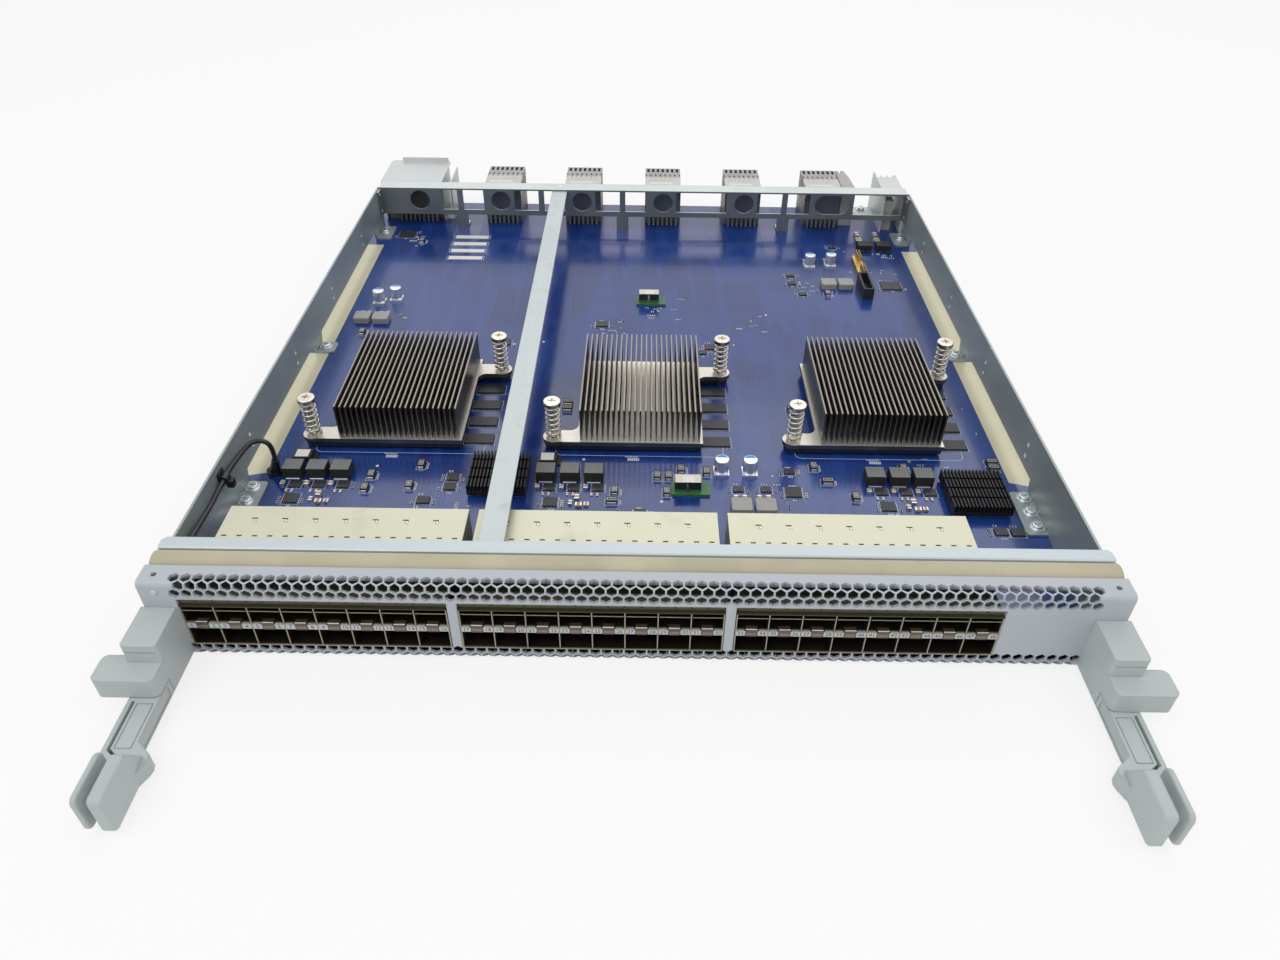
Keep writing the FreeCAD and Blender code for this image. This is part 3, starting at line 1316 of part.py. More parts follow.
def tantalum_list():
    """Moulded capacitors, as (x, y, turned)."""
    left, mid, right = sink_x(0), sink_x(1), sink_x(2)
    parts = [(left - 10.6, 119.2, True), (left - 11.6, 108.0, True), (left + 14.6, 128.8, True)]
    parts += [(left + 11.4, 110.8, True), (mid - 13.2, 108.6, True), (mid - 14.4, 100.2, False)]
    parts += [(mid + 9.6, 121.6, True), (mid + 15.8, 121.6, True), (mid + 22.6, 127.6, True)]
    parts += [(mid + 14.6, 108.2, True), (mid + 36.4, 125.6, True)]
    parts += [(right - 38.6, 131.4, True), (right - 32.6, 118.8, False), (right - 19.6, 106.0, True)]
    parts += [(right + 10.6, 131.0, True), (right + 60.8, 137.6, False), (right + 60.4, 132.2, False)]
    parts += [(left - 51.8, SINK_BACK + 42.0, True), (left - 38.6, BULKHEAD_Y - 29.0, True)]
    parts += [(mid - 43.4, 190.6, False), (mid - 43.6, 184.2, False), (right - 44.0, 186.8, False)]
    parts += [(right - 43.6, 180.6, False), (right - 1.6, BULKHEAD_Y - 107.0, True)]
    return parts


def tantalum_capacitors():
    parts = []
    for x, y, turned in tantalum_list():
        width = TANTALUM_W if turned else TANTALUM_L
        depth = TANTALUM_L if turned else TANTALUM_W
        parts.append(chip_box(x, y, width, depth, TANTALUM_H))
    return group(parts)


def transistor_places():
    y = BULKHEAD_Y - 30.0
    return [(sink_x(2) + 37.9, y), (sink_x(2) + 52.1, y)]


def power_transistors():
    """Moulded blocks with a metal tab behind and two pads in front."""
    parts = []
    for x, y in transistor_places():
        half = TRANSISTOR_W / 2
        body = box(x - half, x + half, y - 4.4, y + 4.4, 0.4, TRANSISTOR_H)
        tab = box(x - half + 1, x + half - 1, y - 4.4, y + 7.4, 0, 0.8)
        leads = [box(x + s - 1.9, x + s + 1.9, y - 8.2, y - 4.0, 0, 0.9) for s in (-2.7, 2.7)]
        parts.append(fuse([body, tab] + leads))
    return group(parts)


def header_place():
    return sink_x(2) + 28.2, BULKHEAD_Y - 67.5


def pin_header():
    """Two rows of pins in a base, and a shrouded socket in front of them."""
    x, y = header_place()
    half = HEADER_W / 2
    pieces = [box(x - half, x + half, y - HEADER_L / 2, y + HEADER_L / 2, 0, HEADER_BASE_H)]
    count = int((HEADER_L - 2) / HEADER_PITCH)
    for k in range(count):
        if abs(k - (count - 1) / 2) < 1.6:
            continue
        y_pin = y + (k - (count - 1) / 2) * HEADER_PITCH
        for side in (-1, 1):
            x_pin = x + side * HEADER_PITCH / 2
            pieces.append(cylinder(x_pin, y_pin, HEADER_BASE_H - 0.5, HEADER_PIN_H, HEADER_PIN_R))
    return fuse(pieces)


def header_shroud():
    x, y = header_place()
    x -= 2.2
    y0 = y - HEADER_L / 2 - 1.0 - SHROUD_L
    body = box(x - SHROUD_W / 2, x + SHROUD_W / 2, y0, y0 + SHROUD_L, 0, SHROUD_H)
    well = box(x - SHROUD_W / 2 + 1.2, x + SHROUD_W / 2 - 1.2, y0 + 1.2, y0 + SHROUD_L - 1.2, 2.2, BIG)
    return cut(body, [well])


def passive_list():
    """Small parts round the power stages and connectors, as (x, y, width, depth, height)."""
    parts = []
    for x0, y in inductor_rows():
        for k in range(3):
            x = x0 + k * INDUCTOR_STEP - 4.0
            parts.append((x, y - 9.0, 2.4, 3.2, 1.6))
            parts.append((x + 3.4, y - 14.6, 1.2, 2.0, 0.7))
            parts.append((x + 6.4, y - 14.8, 1.2, 2.0, 0.7))
        parts.append((x0 + 17.6, y - 17.8, 2.6, 3.4, 1.8))
        parts.append((x0 + 14.4, y - 22.0, 2.0, 3.0, 1.4))
        parts.append((x0 + 18.8, y - 23.4, 3.4, 2.8, 1.4))
        parts.append((x0 + 22.8, y - 23.0, 2.6, 2.6, 1.2))
    for x, y in transistor_places():
        parts.append((x - 2.4, y + 12.4, 4.6, 6.0, 2.2))
        parts.append((x - 2.2, y + 22.0, 3.0, 6.2, 2.4))
    for x, y in flat_inductor_places():
        parts.append((x - 2.4, y + 8.6, 2.2, 3.2, 1.2))
        parts.append((x + 2.4, y + 8.6, 2.2, 3.2, 1.2))
    for x, y in can_places()[4:]:
        parts.append((x - 2.8, y + 8.0, 2.0, 3.0, 1.2))
        parts.append((x + 1.8, y + 9.6, 1.8, 2.8, 1.0))
    return parts


def chip_passives():
    return group([chip_box(x, y, w, d, h) for x, y, w, d, h in passive_list()])


def label_strips():
    strips = []
    x = sink_x(0) - 0.9
    for k in range(4):
        y = BULKHEAD_Y - 19.2 - 12.2 * k
        strips.append(chip_box(x, y, LABEL_W, LABEL_D, LABEL_T))
    return group(strips)


# ---------------------------------------------------------------- indicator and its lead
def status_light():
    """Light pipe through the panel, with its holder behind."""
    x = -HALF_W + LIGHT_X
    pipe = cylinder_y(x, LIGHT_Z, -LIGHT_PROUD, PANEL_T + 1, LIGHT_R)
    pipe = round_edges(pipe, 0.4, lambda edge: abs(edge.BoundBox.YMax + LIGHT_PROUD) < 1e-6)
    half = LIGHT_BODY_W / 2
    y0 = PANEL_T
    y1 = y0 + LIGHT_BODY_D
    low = lead_route()[-1].z - LEAD_D
    holder = box(x - half, x + half, y0, y1, low, PANEL_TOP - PANEL_BEND_R - FIT)
    notch = box(-BIG, WALL_IN * -1 + PANEL_T + 2 * FIT, -BIG, BIG, -BIG, SHELF_UNDER + FIT)
    route = lead_route()
    return cut(fuse([pipe, holder]), [notch, lead_end(route[-1], route[-2])])


def lead_route():
    """Middle line of the lead: up from the plug, over to the wall, forward to the light."""
    wall = -WALL_IN + 0.7 + LEAD_D / 2
    points = [
        (wall + 12.1, 118.6, 11.0),
        (wall + 12.7, 118.0, 19.8),
        (wall + 9.7, 117.4, 24.3),
        (wall + 4.4, 115.2, 25.2),
        (wall + 0.1, 111.0, 22.0),
        (wall, 102.5, 22.8),
        (wall - 0.1, 93.5, 24.0),
        (wall, 79.5, 23.6),
        (wall, 66.0, 22.6),
        (wall + 0.4, 52.0, 24.0),
        (wall + 1.2, 38.0, 25.4),
        (wall + 2.3, 23.5, 27.7),
        (wall + 2.6, PANEL_T + LIGHT_BODY_D, 28.7),
    ]
    return [V(*point) for point in points]


def lead_path(points):
    """Straight runs joined by tangent arcs, and the radius of each arc."""
    edges = []
    radii = []
    start = points[0]
    for before, corner, after in zip(points, points[1:], points[2:]):
        back = (before - corner).normalize()
        ahead = (after - corner).normalize()
        trim = 0.45 * min((before - corner).Length, (after - corner).Length)
        half_turn = (math.pi - back.getAngle(ahead)) / 2
        radius = trim / math.tan(half_turn)
        arc_start = corner + back * trim
        arc_end = corner + ahead * trim
        bisector = (back + ahead).normalize()
        centre = corner + bisector * math.hypot(radius, trim)
        arc_middle = centre - bisector * radius
        edges.append(Part.makeLine(start, arc_start))
        edges.append(Part.Arc(arc_start, arc_middle, arc_end).toShape())
        radii.append(radius)
        start = arc_end
    edges.append(Part.makeLine(start, points[-1]))
    return Part.Wire(edges), radii


def indicator_lead():
    points = lead_route()
    path, radii = lead_path(points)
    along = points[1] - points[0]
    ring = Part.Wire(Part.makeCircle(LEAD_D / 2, points[0], along))
    tube = path.makePipeShell([ring], True, True)
    section = math.pi * (LEAD_D / 2) ** 2
    print("lead radii", [round(radius, 1) for radius in radii])
    print("lead length", round(path.Length, 1), "volume ratio", round(tube.Volume / section / path.Length, 4))
    return tube


def lead_end(tip, beyond):
    """Cutter that clears the lead's end out of the piece that holds it."""
    return Part.makeCylinder(LEAD_D / 2, LEAD_D, tip, (beyond - tip).normalize())


def lead_plug():
    """Round plug on the board with a tapered boot that leans to the lead."""
    tip, beyond = lead_route()[:2]
    foot = V(tip.x - 3.1, tip.y + 2.4, 0)
    base = cylinder(foot.x, foot.y, 0, LEAD_PLUG_H, LEAD_PLUG_R)
    start = foot + V(0, 0, LEAD_PLUG_H * 0.5)
    axis = tip - start
    boot = Part.makeCone(LEAD_BOOT_R, LEAD_D / 2 + 0.5, axis.Length, start, axis)
    return cut(fuse([base, boot]), [lead_end(tip, beyond)])


def lead_clip():
    """Tie mount on the wall: ring round the lead, pad on the wall and the tie's head."""
    route = lead_route()
    at = (route[6] + route[7]) * 0.5
    along = (route[7] - route[6]).normalize()
    ring = Part.makeCylinder(LEAD_D / 2 + 1.0, 4.4, at - along * 2.2, along)
    pad = box(-WALL_IN, at.x - 1, at.y - 3.2, at.y + 3.2, at.z - 4.2, at.z + 4.2)
    head = box(at.x + 0.6, at.x + 4.4, at.y - 2, at.y + 2, at.z - 4.6, at.z - 0.8)
    bore = Part.makeCylinder(LEAD_D / 2 + 0.05, 40, at - along * 20, along)
    wall = box(-BIG, -WALL_IN, -BIG, BIG, -BIG, BIG)
    return cut(fuse([ring, pad, round_edges(head, 0.8, is_upright)]), [bore, wall])


# ---------------------------------------------------------------- ejectors
# Right-hand ejector; the left one is its mirror image. y is negative in front of the panel.
def ejector_body():
    """Fixed block with a stepped lug over the lever and an inner cheek beside it."""
    block = box(BODY_IN, BODY_OUT, -BODY_D, 0, LUG_BOTTOM, BODY_TOP)
    lug_y = -LUG_D
    lug = box(BODY_IN, LUG_END, lug_y, lug_y + LUG_LEN, LUG_BOTTOM, LUG_TOP)
    corners = [(BODY_IN, lug_y), (LUG_END, lug_y), (LUG_END, lug_y + LUG_LEN)]
    lug = round_uprights(lug, LUG_CORNER_R, corners)
    cheek = box(BODY_IN, BODY_IN + CHEEK_T, -BODY_D, 0, BODY_BOTTOM, LUG_BOTTOM)
    keel = box(BODY_IN, PIVOT_X, -2.4, 0, BODY_BOTTOM, LUG_BOTTOM)
    block = round_uprights(block, 2.0, [(BODY_IN, -BODY_D), (BODY_OUT, -BODY_D)])
    body = fuse([block, lug, cheek, keel])
    seam_z = (BODY_TOP + LUG_TOP) / 2 + 1
    seam = box(BODY_IN + 0.6, BODY_OUT - 0.6, -BODY_D - 1, -BODY_D + 0.3, seam_z, seam_z + 0.3)
    pin_hole = cylinder(PIVOT_X, -PIVOT_BACK, LUG_BOTTOM - 1, LUG_TOP, PIVOT_R)
    return cut(body, [pin_hole, seam])


def pivot_pin():
    """Pin fixed in the block; the lever turns on it, above the pin's head."""
    pin = cylinder(PIVOT_X, -PIVOT_BACK, LEVER_LOW - LEVER_AIR, LUG_TOP, PIVOT_R)
    head = cylinder(PIVOT_X, -PIVOT_BACK, LEVER_LOW - LEVER_AIR - 0.8, LEVER_LOW - LEVER_AIR, PIVOT_R + 1.4)
    return fuse([pin, head])


def lever_outline():
    """Plan of the arm and its grip end, as (x, y) points."""
    inner, outer = ARM_IN, ARM_OUT
    return [
        (PIVOT_X - LEVER_ROOT_R, -PIVOT_BACK),
        (BODY_IN + CHEEK_T + LEVER_AIR, -BODY_D - LEVER_AIR),
        (inner, -BODY_D - LEVER_AIR),
        (inner, -ARM_END + 5),
        (GRIP_IN - NECK_BULGE + 0.6, -GRIP_Y0 + 1),
        (GRIP_IN - NECK_BULGE, -GRIP_Y0 - 1.5),
        (GRIP_IN - NECK_BULGE + 0.6, -GRIP_Y0 - 4),
        (GRIP_IN + 0.5, -GRIP_Y0 - 9),
        (GRIP_OUT - 0.5, -GRIP_Y0 - 9),
        (GRIP_OUT, -GRIP_Y0 - 6),
        (outer - 3.9, -ARM_END - 4),
        (outer, -ARM_END),
        (outer, -BODY_D),
        (PIVOT_X + LEVER_ROOT_R, -PIVOT_BACK),
    ]


def ejector_lever():
    """Arm with its rounded root, the jaw beside it, the slit and the raised grip."""
    plan = plate_z(lever_outline(), LEVER_LOW, LEVER_TOP)
    root = cylinder(PIVOT_X, -PIVOT_BACK, LEVER_LOW, LEVER_TOP, LEVER_ROOT_R)
    jaw_y0 = -PIVOT_BACK - JAW_FRONT
    tip = PIVOT_X + JAW_REACH
    jaw = box(PIVOT_X, tip, jaw_y0, jaw_y0 + JAW_D, LEVER_LOW, LEVER_TOP)
    jaw = round_uprights(jaw, JAW_CORNER_R, [(tip, jaw_y0), (tip, jaw_y0 + JAW_D)])
    lever = fuse([plan, root, jaw, grip_block()])
    tools = [cylinder(PIVOT_X, -PIVOT_BACK, LEVER_LOW - 1, LEVER_TOP + 1, PIVOT_R + PIVOT_FIT)]
    tools += slit_cutters()
    tools.append(trigger_pocket())
    tools.append(label_recess())
    tools.append(field_groove())
    return cut(lever, tools)


def grip_block():
    """Upright pad at the end of the arm, with a sloping back edge and rounded edges."""
    outline = [
        (-GRIP_Y0, LEVER_LOW),
        (-GRIP_Y0, LEVER_TOP),
        (-GRIP_Y0 - GRIP_SLOPE, GRIP_TOP),
        (-GRIP_Y1, GRIP_TOP),
        (-GRIP_Y1, LEVER_LOW),
    ]
    block = plate_x(outline, GRIP_IN, GRIP_OUT)
    corners = [outline[2], outline[3], outline[4]]
    return rounded_plate(block, corners, GRIP_ROUND, GRIP_EDGE_R)


def rounded_plate(plate, corners, corner_r, edge_r):
    """Rounds an upright plate: the edges through its (y, z) corners, then its rims."""
    def through(edge):
        middle = edge.CenterOfMass
        return any(math.hypot(middle.y - y, middle.z - z) < 0.01 for y, z in corners)

    plate = round_edges(plate, corner_r, through)
    x0, x1 = plate.BoundBox.XMin, plate.BoundBox.XMax

    def on_rim(edge):
        flat = edge.BoundBox.XLength < 1e-6
        return flat and min(abs(edge.CenterOfMass.x - x0), abs(edge.CenterOfMass.x - x1)) < 1e-6
    return round_edges(plate, edge_r, on_rim)


def slit_cutters():
    """Groove along the outer edge of the arm, turning in before the grip."""
    x1 = ARM_OUT - SLIT_IN
    x0 = x1 - SLIT_W
    low = LEVER_TOP - SLIT_DEEP
    start = -LUG_D - 1.5
    end = -ARM_END + 0.8
    long = box(x0, x1, end, start, low, BIG)
    points = [(x0, end + 0.6), (x1, end), (x1 - 4.6, end - 3.4), (x1 - 5.2, end - 2.4)]
    return [long, plate_z(points, low, BIG)]


def field_groove():
    """Fine line round the plain field on top of the arm."""
    x0, x1 = ARM_IN + 1.4, ARM_OUT - SLIT_IN - SLIT_W - 1.2
    y0, y1 = -ARM_END + 1.5, -LUG_D - 2.5
    line = TOP_GROOVE
    ring = box(x0, x1, y0, y1, LEVER_TOP - line, BIG)
    return cut(ring, [box(x0 + line, x1 - line, y0 + line, y1 - line, -BIG, 2 * BIG)])


def label_recess():
    """Shallow recess on the inner side of the arm for a label."""
    y0, y1 = -ARM_END + 6.5, -BODY_D - 3
    return box(ARM_IN - 1, ARM_IN + 0.4, y0, y1, LEVER_LOW + 1.0, LEVER_TOP - 1.0)


def stem_span():
    """Trigger stem, as (y0, y1, z0, z1)."""
    return -GRIP_Y1 + 4.5, -TRIGGER_Y0 - 1.0, LEVER_TOP - 2.0, LEVER_TOP - 2.0 + TRIGGER_STEM_T


def trigger_pocket():
    """Pocket of the grip in which the trigger's stem slides."""
    y0, y1, z0, z1 = stem_span()
    air = TRIGGER_AIR
    x0 = GRIP_OUT - TRIGGER_TRAVEL - air - 0.6
    return box(x0, GRIP_OUT + 1, y0 - air, y1 + air, z0 - air, z1 + air)


def ejector_trigger():
    """Outer plate of the grip with the stem that guides it."""
    top, front = GRIP_TOP - 0.6, -GRIP_Y1 + 0.4
    outline = [(-TRIGGER_Y0, LEVER_LOW), (-TRIGGER_Y0, top), (front, top), (front, LEVER_LOW)]
    plate = plate_x(outline, TRIGGER_IN, TRIGGER_OUT)
    plate = rounded_plate(plate, outline, TRIGGER_ROUND, TRIGGER_EDGE_R)
    y0, y1, z0, z1 = stem_span()
    stem = box(GRIP_OUT - 0.5, TRIGGER_IN, y0, y1, z0, z1)
    return fuse([plate, stem])


# ---------------------------------------------------------------- all pieces
def single_pieces():
    left_sink, right_sink = pin_sink_places()
    return {
        "front_panel": front_panel(),
        "panel_top_rail": panel_top_rail(),
        "top_gasket": top_gasket(),
        "side_gaskets": side_gaskets(),
        "rear_bulkhead": rear_bulkhead(),
        "centre_brace": centre_brace(),
        "circuit_board": circuit_board(),
        "board_screws": board_screws(),
        "cage_tops": cage_tops(),
        "cage_shells": cage_shells(),
        "port_dividers": port_dividers(),
        "port_shelves": port_shelves(),
        "cage_spring_strips": cage_spring_strips(),
        "port_sockets": port_sockets(),
        "heat_sink_standoffs": heat_sink_standoffs(),
        "heat_sink_screws": heat_sink_screws(),
        "heat_sink_springs": heat_sink_springs(),
        "heat_sink_pads": heat_sink_pads(),
        "switch_chips": switch_chips(),
        "memory_chips": memory_chips(),
        "pin_sink_left": pin_sink(*left_sink),
        "pin_sink_right": pin_sink(*right_sink),
        "guide_module": guide_module(),
        "power_connector": power_connector(),
        "rear_left_cover": rear_left_cover(),
        "rear_right_bracket": rear_right_bracket(),
        "guide_receptacle": guide_receptacle(),
        "power_inductors": power_inductors(),
        "voltage_modules": voltage_modules(),
        "converter_boards": converter_boards(),
        "capacitor_cans": capacitor_cans(),
        "flat_inductors": flat_inductors(),
        "logic_chips": logic_chips(),
        "tantalum_capacitors": tantalum_capacitors(),
        "power_transistors": power_transistors(),
        "pin_header": pin_header(),
        "header_shroud": header_shroud(),
        "chip_passives": chip_passives(),
        "label_strips": label_strips(),
        "status_light": status_light(),
        "indicator_lead": indicator_lead(),
        "lead_plug": lead_plug(),
        "lead_clip": lead_clip(),
    }


def repeated_pieces():
    pieces = {}
    for index in range(SINKS):
        pieces["heat_sink_%d" % (index + 1)] = heat_sink(index)
    for index in range(1, 6):
        pieces["backplane_connector_%d" % index] = backplane_connector(index)
    return pieces


def paired_pieces():
    pairs = {
        "side_wall": side_wall(),
        "ejector_body": ejector_body(),
        "ejector_lever": ejector_lever(),
        "ejector_trigger": ejector_trigger(),
    }
    pieces = {"pivot_pins": group([mirrored(pivot_pin()), pivot_pin()])}
    for name, shape in pairs.items():
        pieces[name + "_left"] = mirrored(shape)
        pieces[name + "_right"] = shape
    return pieces


def main():
    os.makedirs("parts", exist_ok=True)
    pieces = single_pieces()
    pieces.update(repeated_pieces())
    pieces.update(paired_pieces())
    for name, shape in pieces.items():
        save(name, shape)
    print(len(pieces), "nodes")


main()
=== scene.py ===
import math
import random

import bpy
from mathutils import Matrix, Vector


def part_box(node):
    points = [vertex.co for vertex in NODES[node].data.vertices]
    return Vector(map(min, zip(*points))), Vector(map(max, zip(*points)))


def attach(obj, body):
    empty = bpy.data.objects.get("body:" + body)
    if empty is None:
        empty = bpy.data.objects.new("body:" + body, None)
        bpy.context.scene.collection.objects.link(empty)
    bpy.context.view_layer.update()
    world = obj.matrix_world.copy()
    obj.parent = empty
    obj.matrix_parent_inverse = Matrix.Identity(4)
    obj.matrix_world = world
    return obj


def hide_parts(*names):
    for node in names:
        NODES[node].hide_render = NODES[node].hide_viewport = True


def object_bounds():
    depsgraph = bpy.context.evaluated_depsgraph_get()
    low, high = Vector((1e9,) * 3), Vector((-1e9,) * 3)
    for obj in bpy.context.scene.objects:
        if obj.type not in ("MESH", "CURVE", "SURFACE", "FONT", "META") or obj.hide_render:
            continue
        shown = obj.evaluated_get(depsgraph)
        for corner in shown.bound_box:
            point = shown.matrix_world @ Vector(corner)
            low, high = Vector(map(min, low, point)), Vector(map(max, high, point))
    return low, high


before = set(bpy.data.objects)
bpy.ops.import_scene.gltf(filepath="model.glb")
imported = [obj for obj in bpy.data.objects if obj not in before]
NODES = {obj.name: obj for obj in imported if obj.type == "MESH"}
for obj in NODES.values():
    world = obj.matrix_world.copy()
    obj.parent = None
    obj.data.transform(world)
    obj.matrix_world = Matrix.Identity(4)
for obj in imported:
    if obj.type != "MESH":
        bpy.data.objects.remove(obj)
cad_box = [list(corner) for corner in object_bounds()]
random.seed(7)

# Places are written in the helper frame of the solids: millimetres, x from the middle, y back
# from the front panel's face, z up from the board's top.
Y0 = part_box("front_panel")[0].y
Z0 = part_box("circuit_board")[1].z


def at(x, y, z):
    return Vector((x / 1000, Y0 + y / 1000, Z0 + z / 1000))


def span(node):
    """Low and high corner of a node in the helper frame."""
    low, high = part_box(node)
    offset = Vector((0, Y0, Z0))
    return (low - offset) * 1000, (high - offset) * 1000


# ---------------------------------------------------------------- camera, light, floor
PHOTO_WIDTH_PX = 1280
FOCAL_PX = 940.05
SENSOR_MM = 36.0
CAMERA_AT = (1.706, -275.284, 319.458)
CAMERA_RIGHT = (0.9998986, 0.0101521, 0.0099820)
CAMERA_DOWN = (0.0141468, -0.6294857, -0.7768833)
CAMERA_AHEAD = (-0.0016035, 0.7769457, -0.6295656)


def new_object(name, data):
    thing = bpy.data.objects.new(name, data)
    bpy.context.scene.collection.objects.link(thing)
    return thing


def make_camera():
    data = bpy.data.cameras.new("camera")
    data.sensor_width = SENSOR_MM
    data.lens = FOCAL_PX / PHOTO_WIDTH_PX * SENSOR_MM
    data.clip_start = 0.01
    data.clip_end = 50
    camera = new_object("camera", data)
    axes = Matrix((Vector(CAMERA_RIGHT), -Vector(CAMERA_DOWN), -Vector(CAMERA_AHEAD)))
    camera.matrix_world = Matrix.Translation(at(*CAMERA_AT)) @ axes.transposed().to_4x4()
    bpy.context.scene.camera = camera


def area_light(name, place, target, size, power):
    data = bpy.data.lights.new(name, "AREA")
    data.shape = "RECTANGLE"
    data.size, data.size_y = size
    data.energy = power
    lamp = new_object(name, data)
    lamp.location = place
    lamp.rotation_euler = (Vector(target) - Vector(place)).to_track_quat("-Z", "Y").to_euler()


WORLD_LEVEL = 0.52
FLOOR_HALF, FLOOR_GAP = 6.0, 0.0002
FLOOR_TONE = 0.93
FLOOR_GLOW = 0.78


def any_ray(tree, *kinds):
    """Socket that is 1 for rays of the given kinds."""
    path = tree.nodes.new("ShaderNodeLightPath")
    result = path.outputs[kinds[0]]
    for kind in kinds[1:]:
        either = tree.nodes.new("ShaderNodeMath")
        either.operation = "MAXIMUM"
        tree.links.new(result, either.inputs[0])
        tree.links.new(path.outputs[kind], either.inputs[1])
        result = either.outputs[0]
    return result


def mix_shaders(tree, factor, first, second, out):
    mix = tree.nodes.new("ShaderNodeMixShader")
    tree.links.new(factor, mix.inputs["Fac"])
    tree.links.new(first.outputs[0], mix.inputs[1])
    tree.links.new(second.outputs[0], mix.inputs[2])
    tree.links.new(mix.outputs[0], tree.nodes.new(out).inputs["Surface"])


def make_world():
    world = bpy.data.worlds.new("world")
    bpy.context.scene.world = world
    world.use_nodes = True
    tree = world.node_tree
    tree.nodes.clear()
    dim = tree.nodes.new("ShaderNodeBackground")
    dim.inputs["Color"].default_value = (1, 1, 1, 1)
    dim.inputs["Strength"].default_value = WORLD_LEVEL
    white = tree.nodes.new("ShaderNodeBackground")
    white.inputs["Color"].default_value = (1, 1, 1, 1)
    white.inputs["Strength"].default_value = 1.0
    direct = any_ray(tree, "Is Camera Ray", "Is Glossy Ray", "Is Transmission Ray")
    mix_shaders(tree, direct, dim, white, "ShaderNodeOutputWorld")


def make_stage():
    mesh = bpy.data.meshes.new("floor")
    s = FLOOR_HALF
    mesh.from_pydata([(-s, -s, 0), (s, -s, 0), (s, s, 0), (-s, s, 0)], [], [(0, 1, 2, 3)])
    floor = new_object("floor", mesh)
    floor.location.z = cad_box[0][2] - FLOOR_GAP
    paint = bpy.data.materials.new("floor")
    paint.use_nodes = True
    tree = paint.node_tree
    tree.nodes.clear()
    diffuse = tree.nodes.new("ShaderNodeBsdfDiffuse")
    diffuse.inputs["Color"].default_value = (FLOOR_TONE, FLOOR_TONE, FLOOR_TONE, 1)
    glow = tree.nodes.new("ShaderNodeEmission")
    glow.inputs["Color"].default_value = (1, 1, 1, 1)
    share = tree.nodes.new("ShaderNodeMapRange")
    share.inputs["To Max"].default_value = FLOOR_GLOW
    tree.links.new(any_ray(tree, "Is Camera Ray", "Is Glossy Ray"), share.inputs["Value"])
    mix_shaders(tree, share.outputs[0], diffuse, glow, "ShaderNodeOutputMaterial")
    mesh.materials.append(paint)


